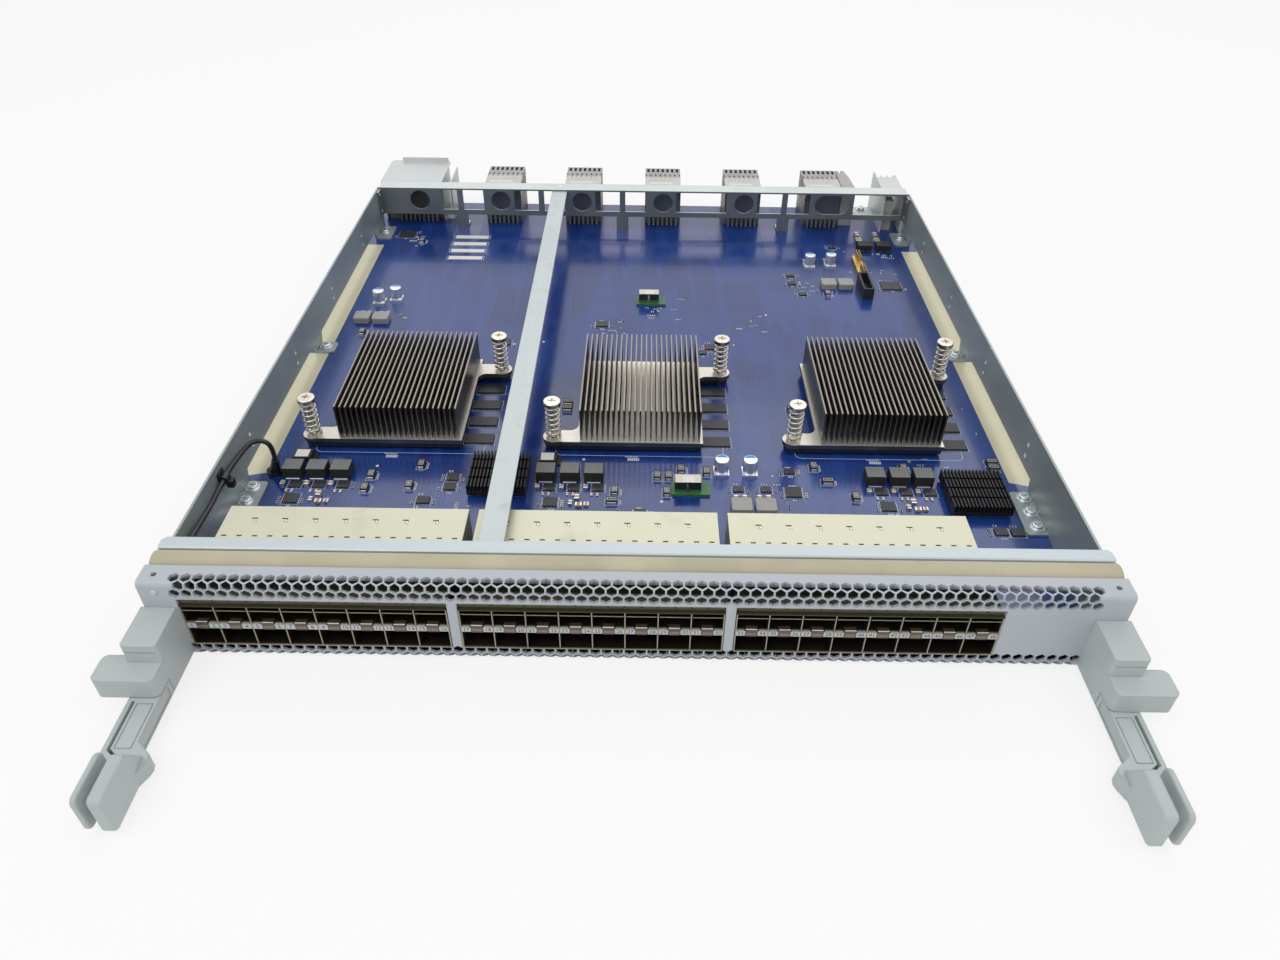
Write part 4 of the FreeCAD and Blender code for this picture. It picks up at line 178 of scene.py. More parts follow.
# ---------------------------------------------------------------- materials
class Surface:
    """A principled material whose colour, roughness and relief come from procedural nodes."""

    def __init__(self, name, metallic=0.0, specular=0.5, coat=0.0, coat_rough=0.1):
        self.material = bpy.data.materials.new(name)
        self.material.use_nodes = True
        self.tree = self.material.node_tree
        self.shader = self.tree.nodes["Principled BSDF"]
        self.shader.inputs["Metallic"].default_value = metallic
        self.shader.inputs["Specular IOR Level"].default_value = specular
        self.shader.inputs["Coat Weight"].default_value = coat
        self.shader.inputs["Coat Roughness"].default_value = coat_rough
        self.coords = self.tree.nodes.new("ShaderNodeTexCoord").outputs["Object"]
        self.normal = None

    def node(self, kind, **inputs):
        node = self.tree.nodes.new(kind)
        for name, value in inputs.items():
            node.inputs[name.replace("_", " ")].default_value = value
        return node

    def link(self, source, target):
        self.tree.links.new(source, target)

    def noise(self, scale, detail, stretch=(1, 1, 1), rough=0.5):
        mapping = self.node("ShaderNodeMapping")
        mapping.inputs["Scale"].default_value = stretch
        self.link(self.coords, mapping.inputs["Vector"])
        node = self.node("ShaderNodeTexNoise", Scale=scale, Detail=detail, Roughness=rough)
        self.link(mapping.outputs["Vector"], node.inputs["Vector"])
        return node.outputs["Fac"]

    def ramp(self, source, low, high, start=0.0, stop=1.0):
        """Goes from start to stop while the source goes from low to high, and stays there."""
        node = self.node("ShaderNodeMapRange", From_Min=low, From_Max=high, To_Min=start,
                         To_Max=stop)
        node.clamp = True
        self.link(source, node.inputs["Value"])
        return node.outputs["Result"]

    def mix(self, factor, first, second):
        """Blend of two colours; each is a tuple or a socket."""
        node = self.node("ShaderNodeMix")
        node.data_type = "RGBA"
        self.link(factor, node.inputs[0])
        for slot, value in ((6, first), (7, second)):
            if isinstance(value, (tuple, list)):
                node.inputs[slot].default_value = (*value[:3], 1)
            else:
                self.link(value, node.inputs[slot])
        return node.outputs[2]

    def maths(self, kind, first, second=None):
        node = self.node("ShaderNodeMath")
        node.operation = kind
        for slot, value in ((0, first), (1, second)):
            if value is None:
                continue
            if isinstance(value, (int, float)):
                node.inputs[slot].default_value = value
            else:
                self.link(value, node.inputs[slot])
        return node.outputs[0]

    def times(self, first, second):
        return self.maths("MULTIPLY", first, second)

    def inverse(self, value):
        return self.maths("SUBTRACT", 1.0, value)

    def waves(self, value, pitch):
        return self.maths("SINE", self.times(value, 2 * math.pi / pitch))

    def mottle(self, source, dark, light):
        """Two tones of one surface, shared out by a noise."""
        return self.mix(self.ramp(source, 0.3, 0.7), dark, light)

    def axes(self, vector=None):
        node = self.node("ShaderNodeSeparateXYZ")
        self.link(vector or self.coords, node.inputs[0])
        return node.outputs

    def depth(self, axis):
        """Place in millimetres along an axis of the helper frame."""
        start = (0.0, Y0, Z0)[axis]
        return self.times(self.maths("SUBTRACT", self.axes()[axis], start), 1000.0)

    def facing(self, axis):
        """Component of the surface's own normal along an axis."""
        return self.axes(self.node("ShaderNodeNewGeometry").outputs["Normal"])[axis]

    def faces_front(self):
        """1 on faces that look out of the front."""
        return self.ramp(self.times(self.facing(1), -1.0), 0.5, 0.8)

    def faces_side(self, low):
        """1 on faces that look left or right."""
        return self.ramp(self.maths("ABSOLUTE", self.facing(0)), low, 0.8)

    def between(self, value, low, high, soft=0.1):
        """1 where value lies between low and high."""
        rising = self.ramp(value, low - soft, low + soft)
        falling = self.ramp(value, high - soft, high + soft)
        return self.maths("SUBTRACT", rising, falling)

    def colour(self, socket):
        self.link(socket, self.shader.inputs["Base Color"])

    def rough(self, source, low, high):
        self.link(self.ramp(source, 0.3, 0.7, low, high), self.shader.inputs["Roughness"])

    def bump(self, height, strength, distance):
        node = self.node("ShaderNodeBump", Strength=strength, Distance=distance)
        self.link(height, node.inputs["Height"])
        if self.normal is not None:
            self.link(self.normal, node.inputs["Normal"])
        self.normal = node.outputs["Normal"]
        self.link(self.normal, self.shader.inputs["Normal"])

    def soft_edges(self, radius):
        node = self.node("ShaderNodeBevel", Radius=radius)
        node.samples = 4
        self.normal = node.outputs["Normal"]
        self.link(self.normal, self.shader.inputs["Normal"])


def shade(colour, factor):
    return tuple(min(1.0, c * factor) for c in colour)


def tones(colour, spread):
    """A darker and a lighter tone of a colour."""
    return shade(colour, 1 - spread), shade(colour, 1 + spread)


def plain(name, colour, rough=(0.4, 0.55), spread=0.06, scale=60, grain=900, relief=0.08,
          depth=0.0002, metallic=0.0, specular=0.5, edge=0.0):
    """Moulded, painted or plated surface: broad and fine colour variation, grain relief."""
    s = Surface(name, metallic, specular)
    broad, fine = s.noise(scale, 4.0), s.noise(grain, 2.0)
    both = s.maths("ADD", s.times(broad, 0.65), s.times(fine, 0.35))
    s.colour(s.mottle(both, *tones(colour, spread)))
    s.rough(fine, *rough)
    if edge:
        s.soft_edges(edge)
    s.bump(fine, relief, depth)
    return s.material


def brushed(name, colour, rough=(0.28, 0.45), spread=0.1, along=0, metallic=1.0, edge=0.0,
            stain=None):
    """Sheet or milled metal, drawn along one axis, with dull patches and optional stains."""
    s = Surface(name, metallic, 0.5)
    stretch = [900, 900, 900]
    stretch[along] = 12
    lines = s.noise(1.0, 2.0, tuple(stretch))
    patches = s.noise(30, 5.0)
    both = s.maths("ADD", s.times(lines, 0.4), s.times(patches, 0.6))
    tint = s.mottle(both, *tones(colour, spread))
    if stain:
        tint = s.mix(s.ramp(s.noise(51, 6.0, rough=0.7), 0.56, 0.72), tint, stain)
    s.colour(tint)
    s.rough(both, *rough)
    if edge:
        s.soft_edges(edge)
    s.bump(lines, 0.05, 0.0001)
    return s.material


def woven(name, colour):
    """Conductive cloth: fine warp and weft over soft foam."""
    s = Surface(name, 0.0, 0.3)
    x, y, z = s.axes()
    thread = 0.0007
    weave = s.times(s.waves(x, thread), s.waves(s.maths("ADD", y, z), thread))
    blotch = s.noise(35, 5.0)
    both = s.maths("ADD", s.times(weave, 0.12), blotch)
    s.colour(s.mix(s.ramp(both, 0.3, 0.75), shade(colour, 0.86), shade(colour, 1.1)))
    s.rough(blotch, 0.62, 0.8)
    s.bump(weave, 0.25, 0.0002)
    s.shader.inputs["Sheen Weight"].default_value = 0.25
    return s.material


# helper frame, millimetres: where the copper fades in, its left and right ends, the line across
PLANES_FRONT = (392.0, 400.0)
PLANES_SIDES = (-150.0, 106.0)
PLANES_GAP = (416.5, 421.0)
PLANE_GRID = 2.0


def rear_planes(s, base):
    """Pale gridded copper between the rear connectors, with a bare line across it."""
    side, back = s.depth(0), s.depth(1)
    area = s.ramp(back, *PLANES_FRONT)
    for k in range(1, 6):
        low, high = span("backplane_connector_%d" % k)
        column = s.between(side, low.x - 3.0, high.x + 1.0, 0.6)
        area = s.times(area, s.inverse(column))
    area = s.times(area, s.between(side, *PLANES_SIDES, 0.6))
    area = s.times(area, s.inverse(s.between(back, *PLANES_GAP, 0.3)))
    lines = s.maths("MAXIMUM", s.waves(side, PLANE_GRID), s.waves(back, PLANE_GRID))
    plane = s.mix(s.ramp(lines, 0.80, 0.97), (0.105, 0.120, 0.300), (0.055, 0.070, 0.270))
    return s.mix(s.times(area, 0.8), base, plane)


TRACE_PITCH = 0.0011                           # metres
VIA_PITCH = 0.0032


def solder_mask(name):
    """Glossy blue mask over copper: planes, rows of vias and fine traces show through it."""
    s = Surface(name, 0.0, 0.55, coat=0.2, coat_rough=0.06)
    deep, plane, trace = (0.005, 0.030, 0.175), (0.008, 0.041, 0.215), (0.016, 0.062, 0.30)
    x, y, _ = s.axes()
    base = s.mix(s.ramp(s.noise(14, 1.0), 0.46, 0.54), deep, plane)
    bundle = s.ramp(s.noise(1.0, 0.0, (95, 14, 1)), 0.55, 0.62)
    stripe = s.ramp(s.waves(x, TRACE_PITCH), 0.1, 0.6)
    base = rear_planes(s, s.mix(s.times(bundle, stripe), base, trace))
    squares = []
    for place in (x, y):
        cell = s.maths("SUBTRACT", s.maths("FRACT", s.maths("DIVIDE", place, VIA_PITCH)), 0.5)
        squares.append(s.times(cell, cell))
    reach = s.maths("SQRT", s.maths("ADD", *squares))
    dots = s.times(s.inverse(s.ramp(reach, 0.13, 0.19)), s.ramp(s.noise(22, 1.0), 0.42, 0.5))
    s.colour(s.mix(dots, base, (0.018, 0.052, 0.29)))
    s.rough(s.noise(60, 3.0), 0.16, 0.26)
    s.bump(dots, 0.12, 0.00005)
    return s.material


# the painted shade inside the ports and under the panel's top rail ends here
CAGE_SHADE_END = 29.5                           # millimetres back from the panel's face


def cage_metal(name, colour, deep, reach):
    """Nickel sheet, bright at the ports' mouths and behind the panel, with painted shade (the
    deep colour) down inside them.
    """
    s = Surface(name, 0.45, 0.5)
    # painted shade: 1 from reach back to CAGE_SHADE_END, where the deep colour is laid over the
    # nickel
    inside = s.between(s.depth(1), reach, CAGE_SHADE_END, 0.35)
    patches = s.noise(45, 5.0)
    tint = s.mottle(patches, shade(colour, 0.94), shade(colour, 1.05))
    spots = s.ramp(s.noise(26, 6.0, rough=0.7), 0.58, 0.76)
    tint = s.mix(s.times(spots, 0.5), tint, shade(colour, 0.62))
    s.colour(s.mix(inside, tint, deep))
    s.rough(patches, 0.34, 0.5)
    s.bump(s.noise(900, 2.0), 0.05, 0.0001)
    return s.material


def fins(name, node):
    """Extruded fins coloured by face direction and height: bright cut edges, painted shade down
    the sides between them, painted light and shade on the front faces, and a pale base floor
    painted with the light it reflects.
    """
    low, high = span(node)
    s = Surface(name, 0.85, 0.5)
    up, height, front = s.facing(2), s.depth(2), s.faces_front()
    below_top = s.maths("SUBTRACT", high.z, height)
    lines = s.noise(1.0, 2.0, (900, 900, 12))
    tone = s.mottle(lines, (0.34, 0.31, 0.27), (0.44, 0.41, 0.36))
    upright = s.inverse(s.ramp(up, 0.4, 0.8))
    # painted shade: upright side faces darken going down between the fins
    dark = s.times(s.times(upright, s.ramp(below_top, 0.2, 2.4)), s.faces_side(0.4))
    tone = s.mix(s.times(dark, 0.88), tone, (0.026, 0.020, 0.017))
    # painted light and shade on the front faces: dark near the top, lighter further down
    front_shade_ramp = s.ramp(below_top, 1.0, high.z - low.z - 3.0)
    tone = s.mix(front, tone, s.mix(front_shade_ramp, (0.10, 0.09, 0.08), (0.36, 0.34, 0.29)))
    # upward faces: a painted reflection makes the base floor between the fins pale; the fin tops
    # take a darker tone
    reflecting_base = s.between(height, -1.0, low.z + 6.0, 0.5)
    top = s.mix(reflecting_base, (0.30, 0.27, 0.235), (0.64, 0.61, 0.54))
    tone = s.mix(s.ramp(up, 0.6, 0.9), tone, top)
    base = s.between(height, -1.0, low.z + 3.2, 0.2)
    s.colour(s.mix(s.times(base, front), tone, (0.13, 0.135, 0.165)))
    s.rough(lines, 0.3, 0.44)
    s.bump(lines, 0.05, 0.0001)
    return s.material


BLOCK_HEIGHT = 4.9


def converter(name):
    """Green board below, black moulded block above."""
    s = Surface(name, 0.0, 0.5)
    grain = s.noise(300, 3.0)
    start = span("converter_boards")[1].z - BLOCK_HEIGHT
    green = s.mottle(grain, (0.045, 0.15, 0.05), (0.06, 0.20, 0.065))
    black = s.mottle(grain, (0.014, 0.014, 0.014), (0.024, 0.024, 0.026))
    s.colour(s.mix(s.ramp(s.depth(2), start, start + 0.1), green, black))
    s.rough(grain, 0.34, 0.48)
    s.bump(s.noise(3000, 2.0), 0.1, 0.0001)
    return s.material


def panel_paint(name):
    """Fine-grained pale paint outside; the inner faces behind the front are bare metal, painted
    near-black as shade.
    """
    s = Surface(name, 0.0, 0.5)
    broad, grain = s.noise(25, 4.0), s.noise(2600, 2.0)
    paint = s.mottle(broad, (0.485, 0.525, 0.565), (0.510, 0.550, 0.600))
    inner = s.mottle(broad, (0.055, 0.055, 0.045), (0.080, 0.080, 0.065))
    back = s.ramp(s.facing(1), 0.5, 0.8)
    under = s.ramp(s.times(s.facing(2), -1.0), 0.5, 0.8)
    above_board = s.ramp(s.depth(2), 0.0, 1.0)
    # painted shade: inner faces facing back, and undersides above the board, between 0.4 and 29
    # mm back
    inner_shade_mask = s.times(s.maths("MAXIMUM", back, s.times(under, above_board)),
                     s.between(s.depth(1), 0.4, 29.0, 0.1))
    s.colour(s.mix(inner_shade_mask, paint, inner))
    s.rough(grain, 0.38, 0.5)
    s.soft_edges(0.0004)
    s.bump(grain, 0.10, 0.00012)
    return s.material


def rear_sheet(name):
    """Zinc sheet with a painted highlight on its upward faces and painted shade on its upright
    faces.
    """
    s = Surface(name, 0.5, 0.5)
    grain = s.noise(30, 5.0)
    dull = s.mottle(grain, (0.155, 0.180, 0.190), (0.200, 0.225, 0.235))
    bright = s.mottle(grain, (0.60, 0.66, 0.64), (0.66, 0.71, 0.69))
    # painted light: the colour follows the face's upward tilt, shaded when upright and lit when
    # facing up
    s.colour(s.mix(s.ramp(s.facing(2), 0.4, 0.8), dull, bright))
    s.rough(grain, 0.36, 0.5)
    s.soft_edges(0.0003)
    s.bump(s.noise(1.0, 2.0, (12, 900, 900)), 0.05, 0.0001)
    return s.material


SHROUD_START = (472.4, 473.4)
# the lead stubs below this height get painted shade
STUBS_SHADE_TOP = (5.6, 6.6)
WAFER_PITCH = 3.4


def connector_plastic(name):
    """Polymer wafers, cream in front and greyer behind, with painted shade on the front faces and
    on the low lead stubs, and striped ends.
    """
    s = Surface(name, 0.0, 0.45)
    back, height = s.depth(1), s.depth(2)
    grain = s.noise(60, 4.0)
    cream = s.mottle(grain, (0.60, 0.59, 0.55), (0.68, 0.67, 0.63))
    grey = s.mottle(grain, (0.36, 0.36, 0.36), (0.44, 0.44, 0.44))
    tone = s.mix(s.ramp(back, *SHROUD_START), cream, grey)
    # painted shade on the faces that look out of the front, then on the lead stubs below
    # STUBS_SHADE_TOP
    tone = s.mix(s.faces_front(), tone, (0.135, 0.150, 0.180))
    tone = s.mix(s.inverse(s.ramp(height, *STUBS_SHADE_TOP)), tone, (0.16, 0.16, 0.165))
    slant = s.maths("ADD", back, s.times(height, 0.5))
    stripe = s.ramp(s.waves(slant, WAFER_PITCH), -0.1, 0.3)
    s.colour(s.mix(s.times(s.faces_side(0.5), stripe), tone, (0.10, 0.09, 0.075)))
    s.rough(grain, 0.42, 0.55)
    s.bump(s.noise(1800, 2.0), 0.12, 0.0002)
    return s.material


MATERIALS = {}


def make_materials():
    """plain: name, colour, roughness, spread, broad and fine noise, relief and its depth.
    brushed: name, colour, roughness, spread, axis of the grain, metallic, soft edges.
    """
    m = MATERIALS
    m["panel"] = panel_paint("panel_paint")
    m["ejector"] = plain("ejector_paint", (0.50, 0.55, 0.55), (0.42, 0.55), 0.035, 30, 2200, 0.12,
                         0.00015, edge=0.0009)
    m["rail"] = brushed("rail_zinc", (0.56, 0.62, 0.65), (0.35, 0.5), 0.05, 0, 0.35, 0.0003)
    m["wall"] = brushed("wall_zinc", (0.36, 0.41, 0.41), (0.34, 0.5), 0.10, 1, 0.45, 0.0003)
    m["bulkhead"] = rear_sheet("bulkhead_zinc")
    m["brace"] = brushed("brace_zinc", (0.56, 0.61, 0.62), (0.4, 0.55), 0.08, 1, 0.35, 0.0002,
                         stain=(0.44, 0.48, 0.51))
    m["gasket"] = woven("gasket_cloth", (0.56, 0.52, 0.37))
    m["side_gasket"] = plain("side_gasket", (0.022, 0.02, 0.022), (0.55, 0.75), 0.2)
    m["board"] = solder_mask("board_mask")
    # painted shade: cage tops go dark under the panel's rail; cage_shaded and shelf_shaded are
    # darker copies of the nickel for the shade inside the ports, darker still further in
    m["cage"] = cage_metal("cage_nickel", (0.64, 0.63, 0.49), (0.060, 0.060, 0.036), -5.0)
    m["cage_shaded"] = cage_metal("cage_shaded", (0.36, 0.345, 0.25), (0.026, 0.019, 0.013), 0.3)
    m["shelf_shaded"] = cage_metal("shelf_shaded", (0.20, 0.18, 0.13), (0.020, 0.015, 0.010), 1.0)
    for k in range(1, 4):
        m["fin_%d" % k] = fins("fin_%d" % k, "heat_sink_%d" % k)
    m["plastic"] = connector_plastic("connector_plastic")
    # painted highlight: a lighter copy of the cage nickel for edges, tabs and catches that catch
    # the light
    m["nickel_highlight"] = brushed("edge_nickel_highlight", (0.86, 0.84, 0.72), (0.3, 0.45), 0.04, 0, 0.4)
    m["cage_inside"] = brushed("cage_inside", (0.13, 0.095, 0.085), (0.35, 0.5), 0.12, 1, 0.5)
    m["spring_strip"] = brushed("spring_strip", (0.22, 0.20, 0.135), (0.32, 0.45), 0.08, 0, 0.5)
    m["plate"] = plain("number_plate", (0.56, 0.58, 0.60), (0.4, 0.55), 0.04, 80, 2000, 0.05,
                       0.0001)
    # painted highlight: a lighter copy of the shelf's nickel for its top edge and the line over
    # each upper port
    m["shelf_highlight"] = brushed("shelf_edge_highlight", (0.44, 0.43, 0.30), (0.3, 0.45), 0.06, 0, 0.4)
    m["label"] = plain("label_white", (0.80, 0.80, 0.78), (0.4, 0.55), 0.03, 80, 2000, 0.05,
                       0.0001)
    # the port numbers' print, and also the painted shadows and shade marks on the cages and
    # connectors
    m["ink_and_shade"] = plain("ink_and_shade", (0.02, 0.02, 0.03), (0.5, 0.6), 0.2)
    m["black"] = plain("moulded_black", (0.016, 0.016, 0.018), (0.38, 0.55), 0.25, 200, 3000,
                       0.15, 0.0001)
    m["power_grey"] = plain("power_grey", (0.11, 0.105, 0.10), (0.4, 0.55), 0.2, 120, 2500, 0.12,
                            0.0001)
    m["chip"] = plain("chip_black", (0.024, 0.025, 0.029), (0.34, 0.5), 0.25, 150, 4000, 0.18,
                      0.00008)
    m["lead"] = brushed("lead_tin", (0.70, 0.70, 0.68), (0.25, 0.4), 0.1, 1)
    m["gold"] = brushed("lead_gold", (0.76, 0.58, 0.26), (0.25, 0.4), 0.1, 1)
    m["pin_sink"] = plain("pin_sink", (0.014, 0.014, 0.016), (0.4, 0.55), 0.25, 120, 2500, 0.15,
                          metallic=0.3)
    m["nickel"] = brushed("screw_nickel", (0.70, 0.66, 0.58), (0.2, 0.32), 0.08, 2)
    m["wire"] = brushed("spring_wire", (0.52, 0.50, 0.46), (0.22, 0.35), 0.08, 2)
    m["brass"] = brushed("post_brass", (0.72, 0.52, 0.22), (0.25, 0.4), 0.08, 2)
    m["zinc"] = brushed("screw_zinc", (0.72, 0.75, 0.78), (0.25, 0.4), 0.08, 0)
    m["connector"] = plain("connector_grey", (0.44, 0.43, 0.40), (0.42, 0.55), 0.06, 60, 1800,
                           0.12)
    m["cover"] = brushed("cover_zinc", (0.62, 0.65, 0.65), (0.35, 0.5), 0.05, 0, 0.35, 0.0003)
    m["ferrite"] = plain("ferrite", (0.020, 0.020, 0.020), (0.5, 0.65), 0.25, 250, 2500, 0.25,
                         0.00015)
    m["ferrite_top"] = plain("ferrite_top", (0.16, 0.17, 0.165), (0.45, 0.6), 0.08, 250, 2500,
                             0.2, 0.0001)
    m["flat_top"] = plain("flat_top", (0.34, 0.34, 0.32), (0.38, 0.5), 0.08, 200, 2500, 0.15,
                          0.0001)
    m["green"] = converter("converter_green")
    m["cream"] = plain("label_cream", (0.74, 0.70, 0.56), (0.45, 0.6), 0.04, 200, 2500, 0.06)
    m["can"] = brushed("can_aluminium", (0.78, 0.78, 0.80), (0.22, 0.34), 0.05, 2, 0.9)
    m["can_mark"] = plain("can_mark", (0.05, 0.28, 0.62), (0.3, 0.42), 0.06, 200, 3000, 0.04)
    m["tan"] = plain("ceramic_tan", (0.46, 0.33, 0.17), (0.42, 0.55), 0.12, 400, 4000, 0.08)
    m["brown"] = plain("tantalum", (0.022, 0.021, 0.020), (0.4, 0.55), 0.2, 400, 4000, 0.08)
    m["gap"] = plain("print_gap", (0.02, 0.045, 0.26), (0.3, 0.4), 0.06, 300, 2000, 0.02)
    m["via"] = plain("via_dot", (0.022, 0.045, 0.28), (0.3, 0.4), 0.06, 300, 2000, 0.02)
    m["edge_strip"] = plain("edge_copper", (0.62, 0.59, 0.42), (0.36, 0.5), 0.05, 60, 1500, 0.06,
                            metallic=0.2)
    m["silk"] = plain("silkscreen", (0.62, 0.66, 0.74), (0.5, 0.6), 0.05, 400, 3000, 0.02)
    m["lens"] = plain("light_pipe", (0.62, 0.64, 0.60), (0.12, 0.2), 0.03, 200, 2500, 0.03,
                      specular=0.6)
    m["sleeve"] = plain("lead_sleeve", (0.012, 0.012, 0.014), (0.3, 0.42), 0.2, 250, 1800, 0.12)
    m["pin"] = brushed("pivot_steel", (0.45, 0.45, 0.46), (0.25, 0.4), 0.08, 2)


NODE_LOOKS = {
    "front_panel": "panel", "panel_top_rail": "rail", "top_gasket": "gasket",
    "side_gaskets": "side_gasket", "side_wall_left": "wall", "side_wall_right": "wall",
    "rear_bulkhead": "bulkhead", "centre_brace": "brace", "circuit_board": "board",
    "board_screws": "zinc", "cage_tops": "cage", "cage_shells": "cage_shaded",
    "port_dividers": "cage_shaded", "port_shelves": "shelf_shaded",
    "cage_spring_strips": "spring_strip", "port_sockets": "black",
    "heat_sink_standoffs": "brass", "heat_sink_pads": "black", "heat_sink_screws": "nickel",
    "heat_sink_springs": "wire", "switch_chips": "black", "memory_chips": "chip",
    "pin_sink_left": "pin_sink", "pin_sink_right": "pin_sink", "guide_module": "connector",
    "power_connector": "power_grey", "rear_left_cover": "cover", "rear_right_bracket": "cover",
    "guide_receptacle": "connector", "power_inductors": "ferrite", "voltage_modules": "black",
    "converter_boards": "green", "capacitor_cans": "can", "flat_inductors": "flat_top",
    "logic_chips": "chip", "tantalum_capacitors": "brown", "power_transistors": "black",
    "pin_header": "gold", "header_shroud": "black", "chip_passives": "tan",
    "label_strips": "label", "status_light": "lens", "lead_plug": "sleeve",
    "lead_clip": "sleeve", "pivot_pins": "pin",
}


def dress_nodes():
    looks = dict(NODE_LOOKS)
    for k in range(1, 4):
        looks["heat_sink_%d" % k] = "fin_%d" % k
    for k in range(1, 6):
        looks["backplane_connector_%d" % k] = "plastic"
    for kind in ("body", "lever", "trigger"):
        for side in ("left", "right"):
            looks["ejector_%s_%s" % (kind, side)] = "ejector"
    for name, node in NODES.items():
        node.data.materials.clear()
        node.data.materials.append(MATERIALS[looks.get(name, "sleeve")])


# ---------------------------------------------------------------- mesh building
class Bag:
    """Collects simple shapes into one piece of the card; places in the helper frame."""

    def __init__(self, name):
        self.name = name
        self.verts, self.faces, self.slots, self.looks = [], [], [], []

    def add(self, points, faces, look):
        if look not in self.looks:
            self.looks.append(look)
        start = len(self.verts)
        self.verts += [at(*p) for p in points]
        self.faces += [tuple(start + i for i in f) for f in faces]
        self.slots += [self.looks.index(look)] * len(faces)

    def block(self, x0, x1, y0, y1, z0, z1, look, chamfer=0.0):
        """Box whose upper edges are chamfered."""
        c = min(chamfer, (x1 - x0) / 3, (y1 - y0) / 3, (z1 - z0) / 2)
        corners = ((x0, y0), (x1, y0), (x1, y1), (x0, y1))
        layers = [(x, y, z0) for x, y in corners]
        if c > 0:
            layers += [(x, y, z1 - c) for x, y in corners]
            corners = ((x0 + c, y0 + c), (x1 - c, y0 + c), (x1 - c, y1 - c), (x0 + c, y1 - c))
        layers += [(x, y, z1) for x, y in corners]
        last = len(layers) - 4
        faces = [(3, 2, 1, 0), (last, last + 1, last + 2, last + 3)]
        for first in range(0, last, 4):
            for k in range(4):
                n = (k + 1) % 4
                faces.append((first + k, first + n, first + 4 + n, first + 4 + k))
        self.add(layers, faces, look)

    def sheet(self, x0, x1, y0, y1, z, look):
        self.add([(x0, y0, z), (x1, y0, z), (x1, y1, z), (x0, y1, z)], [(0, 1, 2, 3)], look)

    def disc(self, x, y, z, r, look, n, start=0.0, sweep=2 * math.pi):
        """Flat disc, or the part of it that a shorter sweep cuts off."""
        count = n if sweep == 2 * math.pi else n + 1
        angles = [start + sweep * k / n for k in range(count)]
        points = [(x + r * math.cos(a), y + r * math.sin(a), z) for a in angles]
        self.add(points, [tuple(range(count))], look)

    def frame_line(self, x0, x1, y0, y1, z, look, w=0.22):
        """Thin printed outline."""
        self.sheet(x0, x1, y0, y0 + w, z, look)
        self.sheet(x0, x1, y1 - w, y1, z, look)
        self.sheet(x0, x0 + w, y0 + w, y1 - w, z, look)
        self.sheet(x1 - w, x1, y0 + w, y1 - w, z, look)

    def done(self, slot):
        mesh = bpy.data.meshes.new(self.name)
        mesh.from_pydata(self.verts, [], self.faces)
        for look in self.looks:
            mesh.materials.append(MATERIALS[look])
        mesh.polygons.foreach_set("material_index", self.slots)
        mesh.update()
        piece = new_object(self.name, mesh)
        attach(piece, "card")


# ---------------------------------------------------------------- ports
CAGES = 3
CAGE_STEP = 118.9
CAGE_TOP = 24.0
COLUMNS = 8
PITCH = 14.25
SHELF_LOW, SHELF_TOP = 10.2, 13.8
NUMBER_PLATES = ((0.35, 4.4), (9.9, 13.95))
NUMBER_HEIGHT = 2.05
FONT_SIZE_PER_HEIGHT = 1.38


def cage_left(index):
    return span("cage_tops")[0].x + index * CAGE_STEP


def digits(text, x, y, z):
    """Mesh of a printed number that stands upright and faces the front."""
    data = bpy.data.curves.new("number", "FONT")
    data.body = text
    data.size = NUMBER_HEIGHT / 1000 * FONT_SIZE_PER_HEIGHT
    data.align_x = "CENTER"
    data.align_y = "CENTER"
    data.resolution_u = 2
    holder = new_object("number_curve", data)
    holder.matrix_world = Matrix.Translation(at(x, y, z)) @ Matrix.Rotation(math.pi / 2, 4, "X")
    bpy.context.view_layer.update()
    mesh = bpy.data.meshes.new_from_object(holder)
    mesh.transform(holder.matrix_world)
    bpy.data.objects.remove(holder)
    return mesh


def join_meshes(meshes, name, look):
    """One piece of the card from several meshes."""
    verts, faces = [], []
    for mesh in meshes:
        start = len(verts)
        verts += [v.co.copy() for v in mesh.vertices]
        faces += [tuple(start + i for i in p.vertices) for p in mesh.polygons]
        bpy.data.meshes.remove(mesh)
    whole = bpy.data.meshes.new(name)
    whole.from_pydata(verts, [], faces)
    whole.materials.append(MATERIALS[look])
    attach(new_object(name, whole), "card")


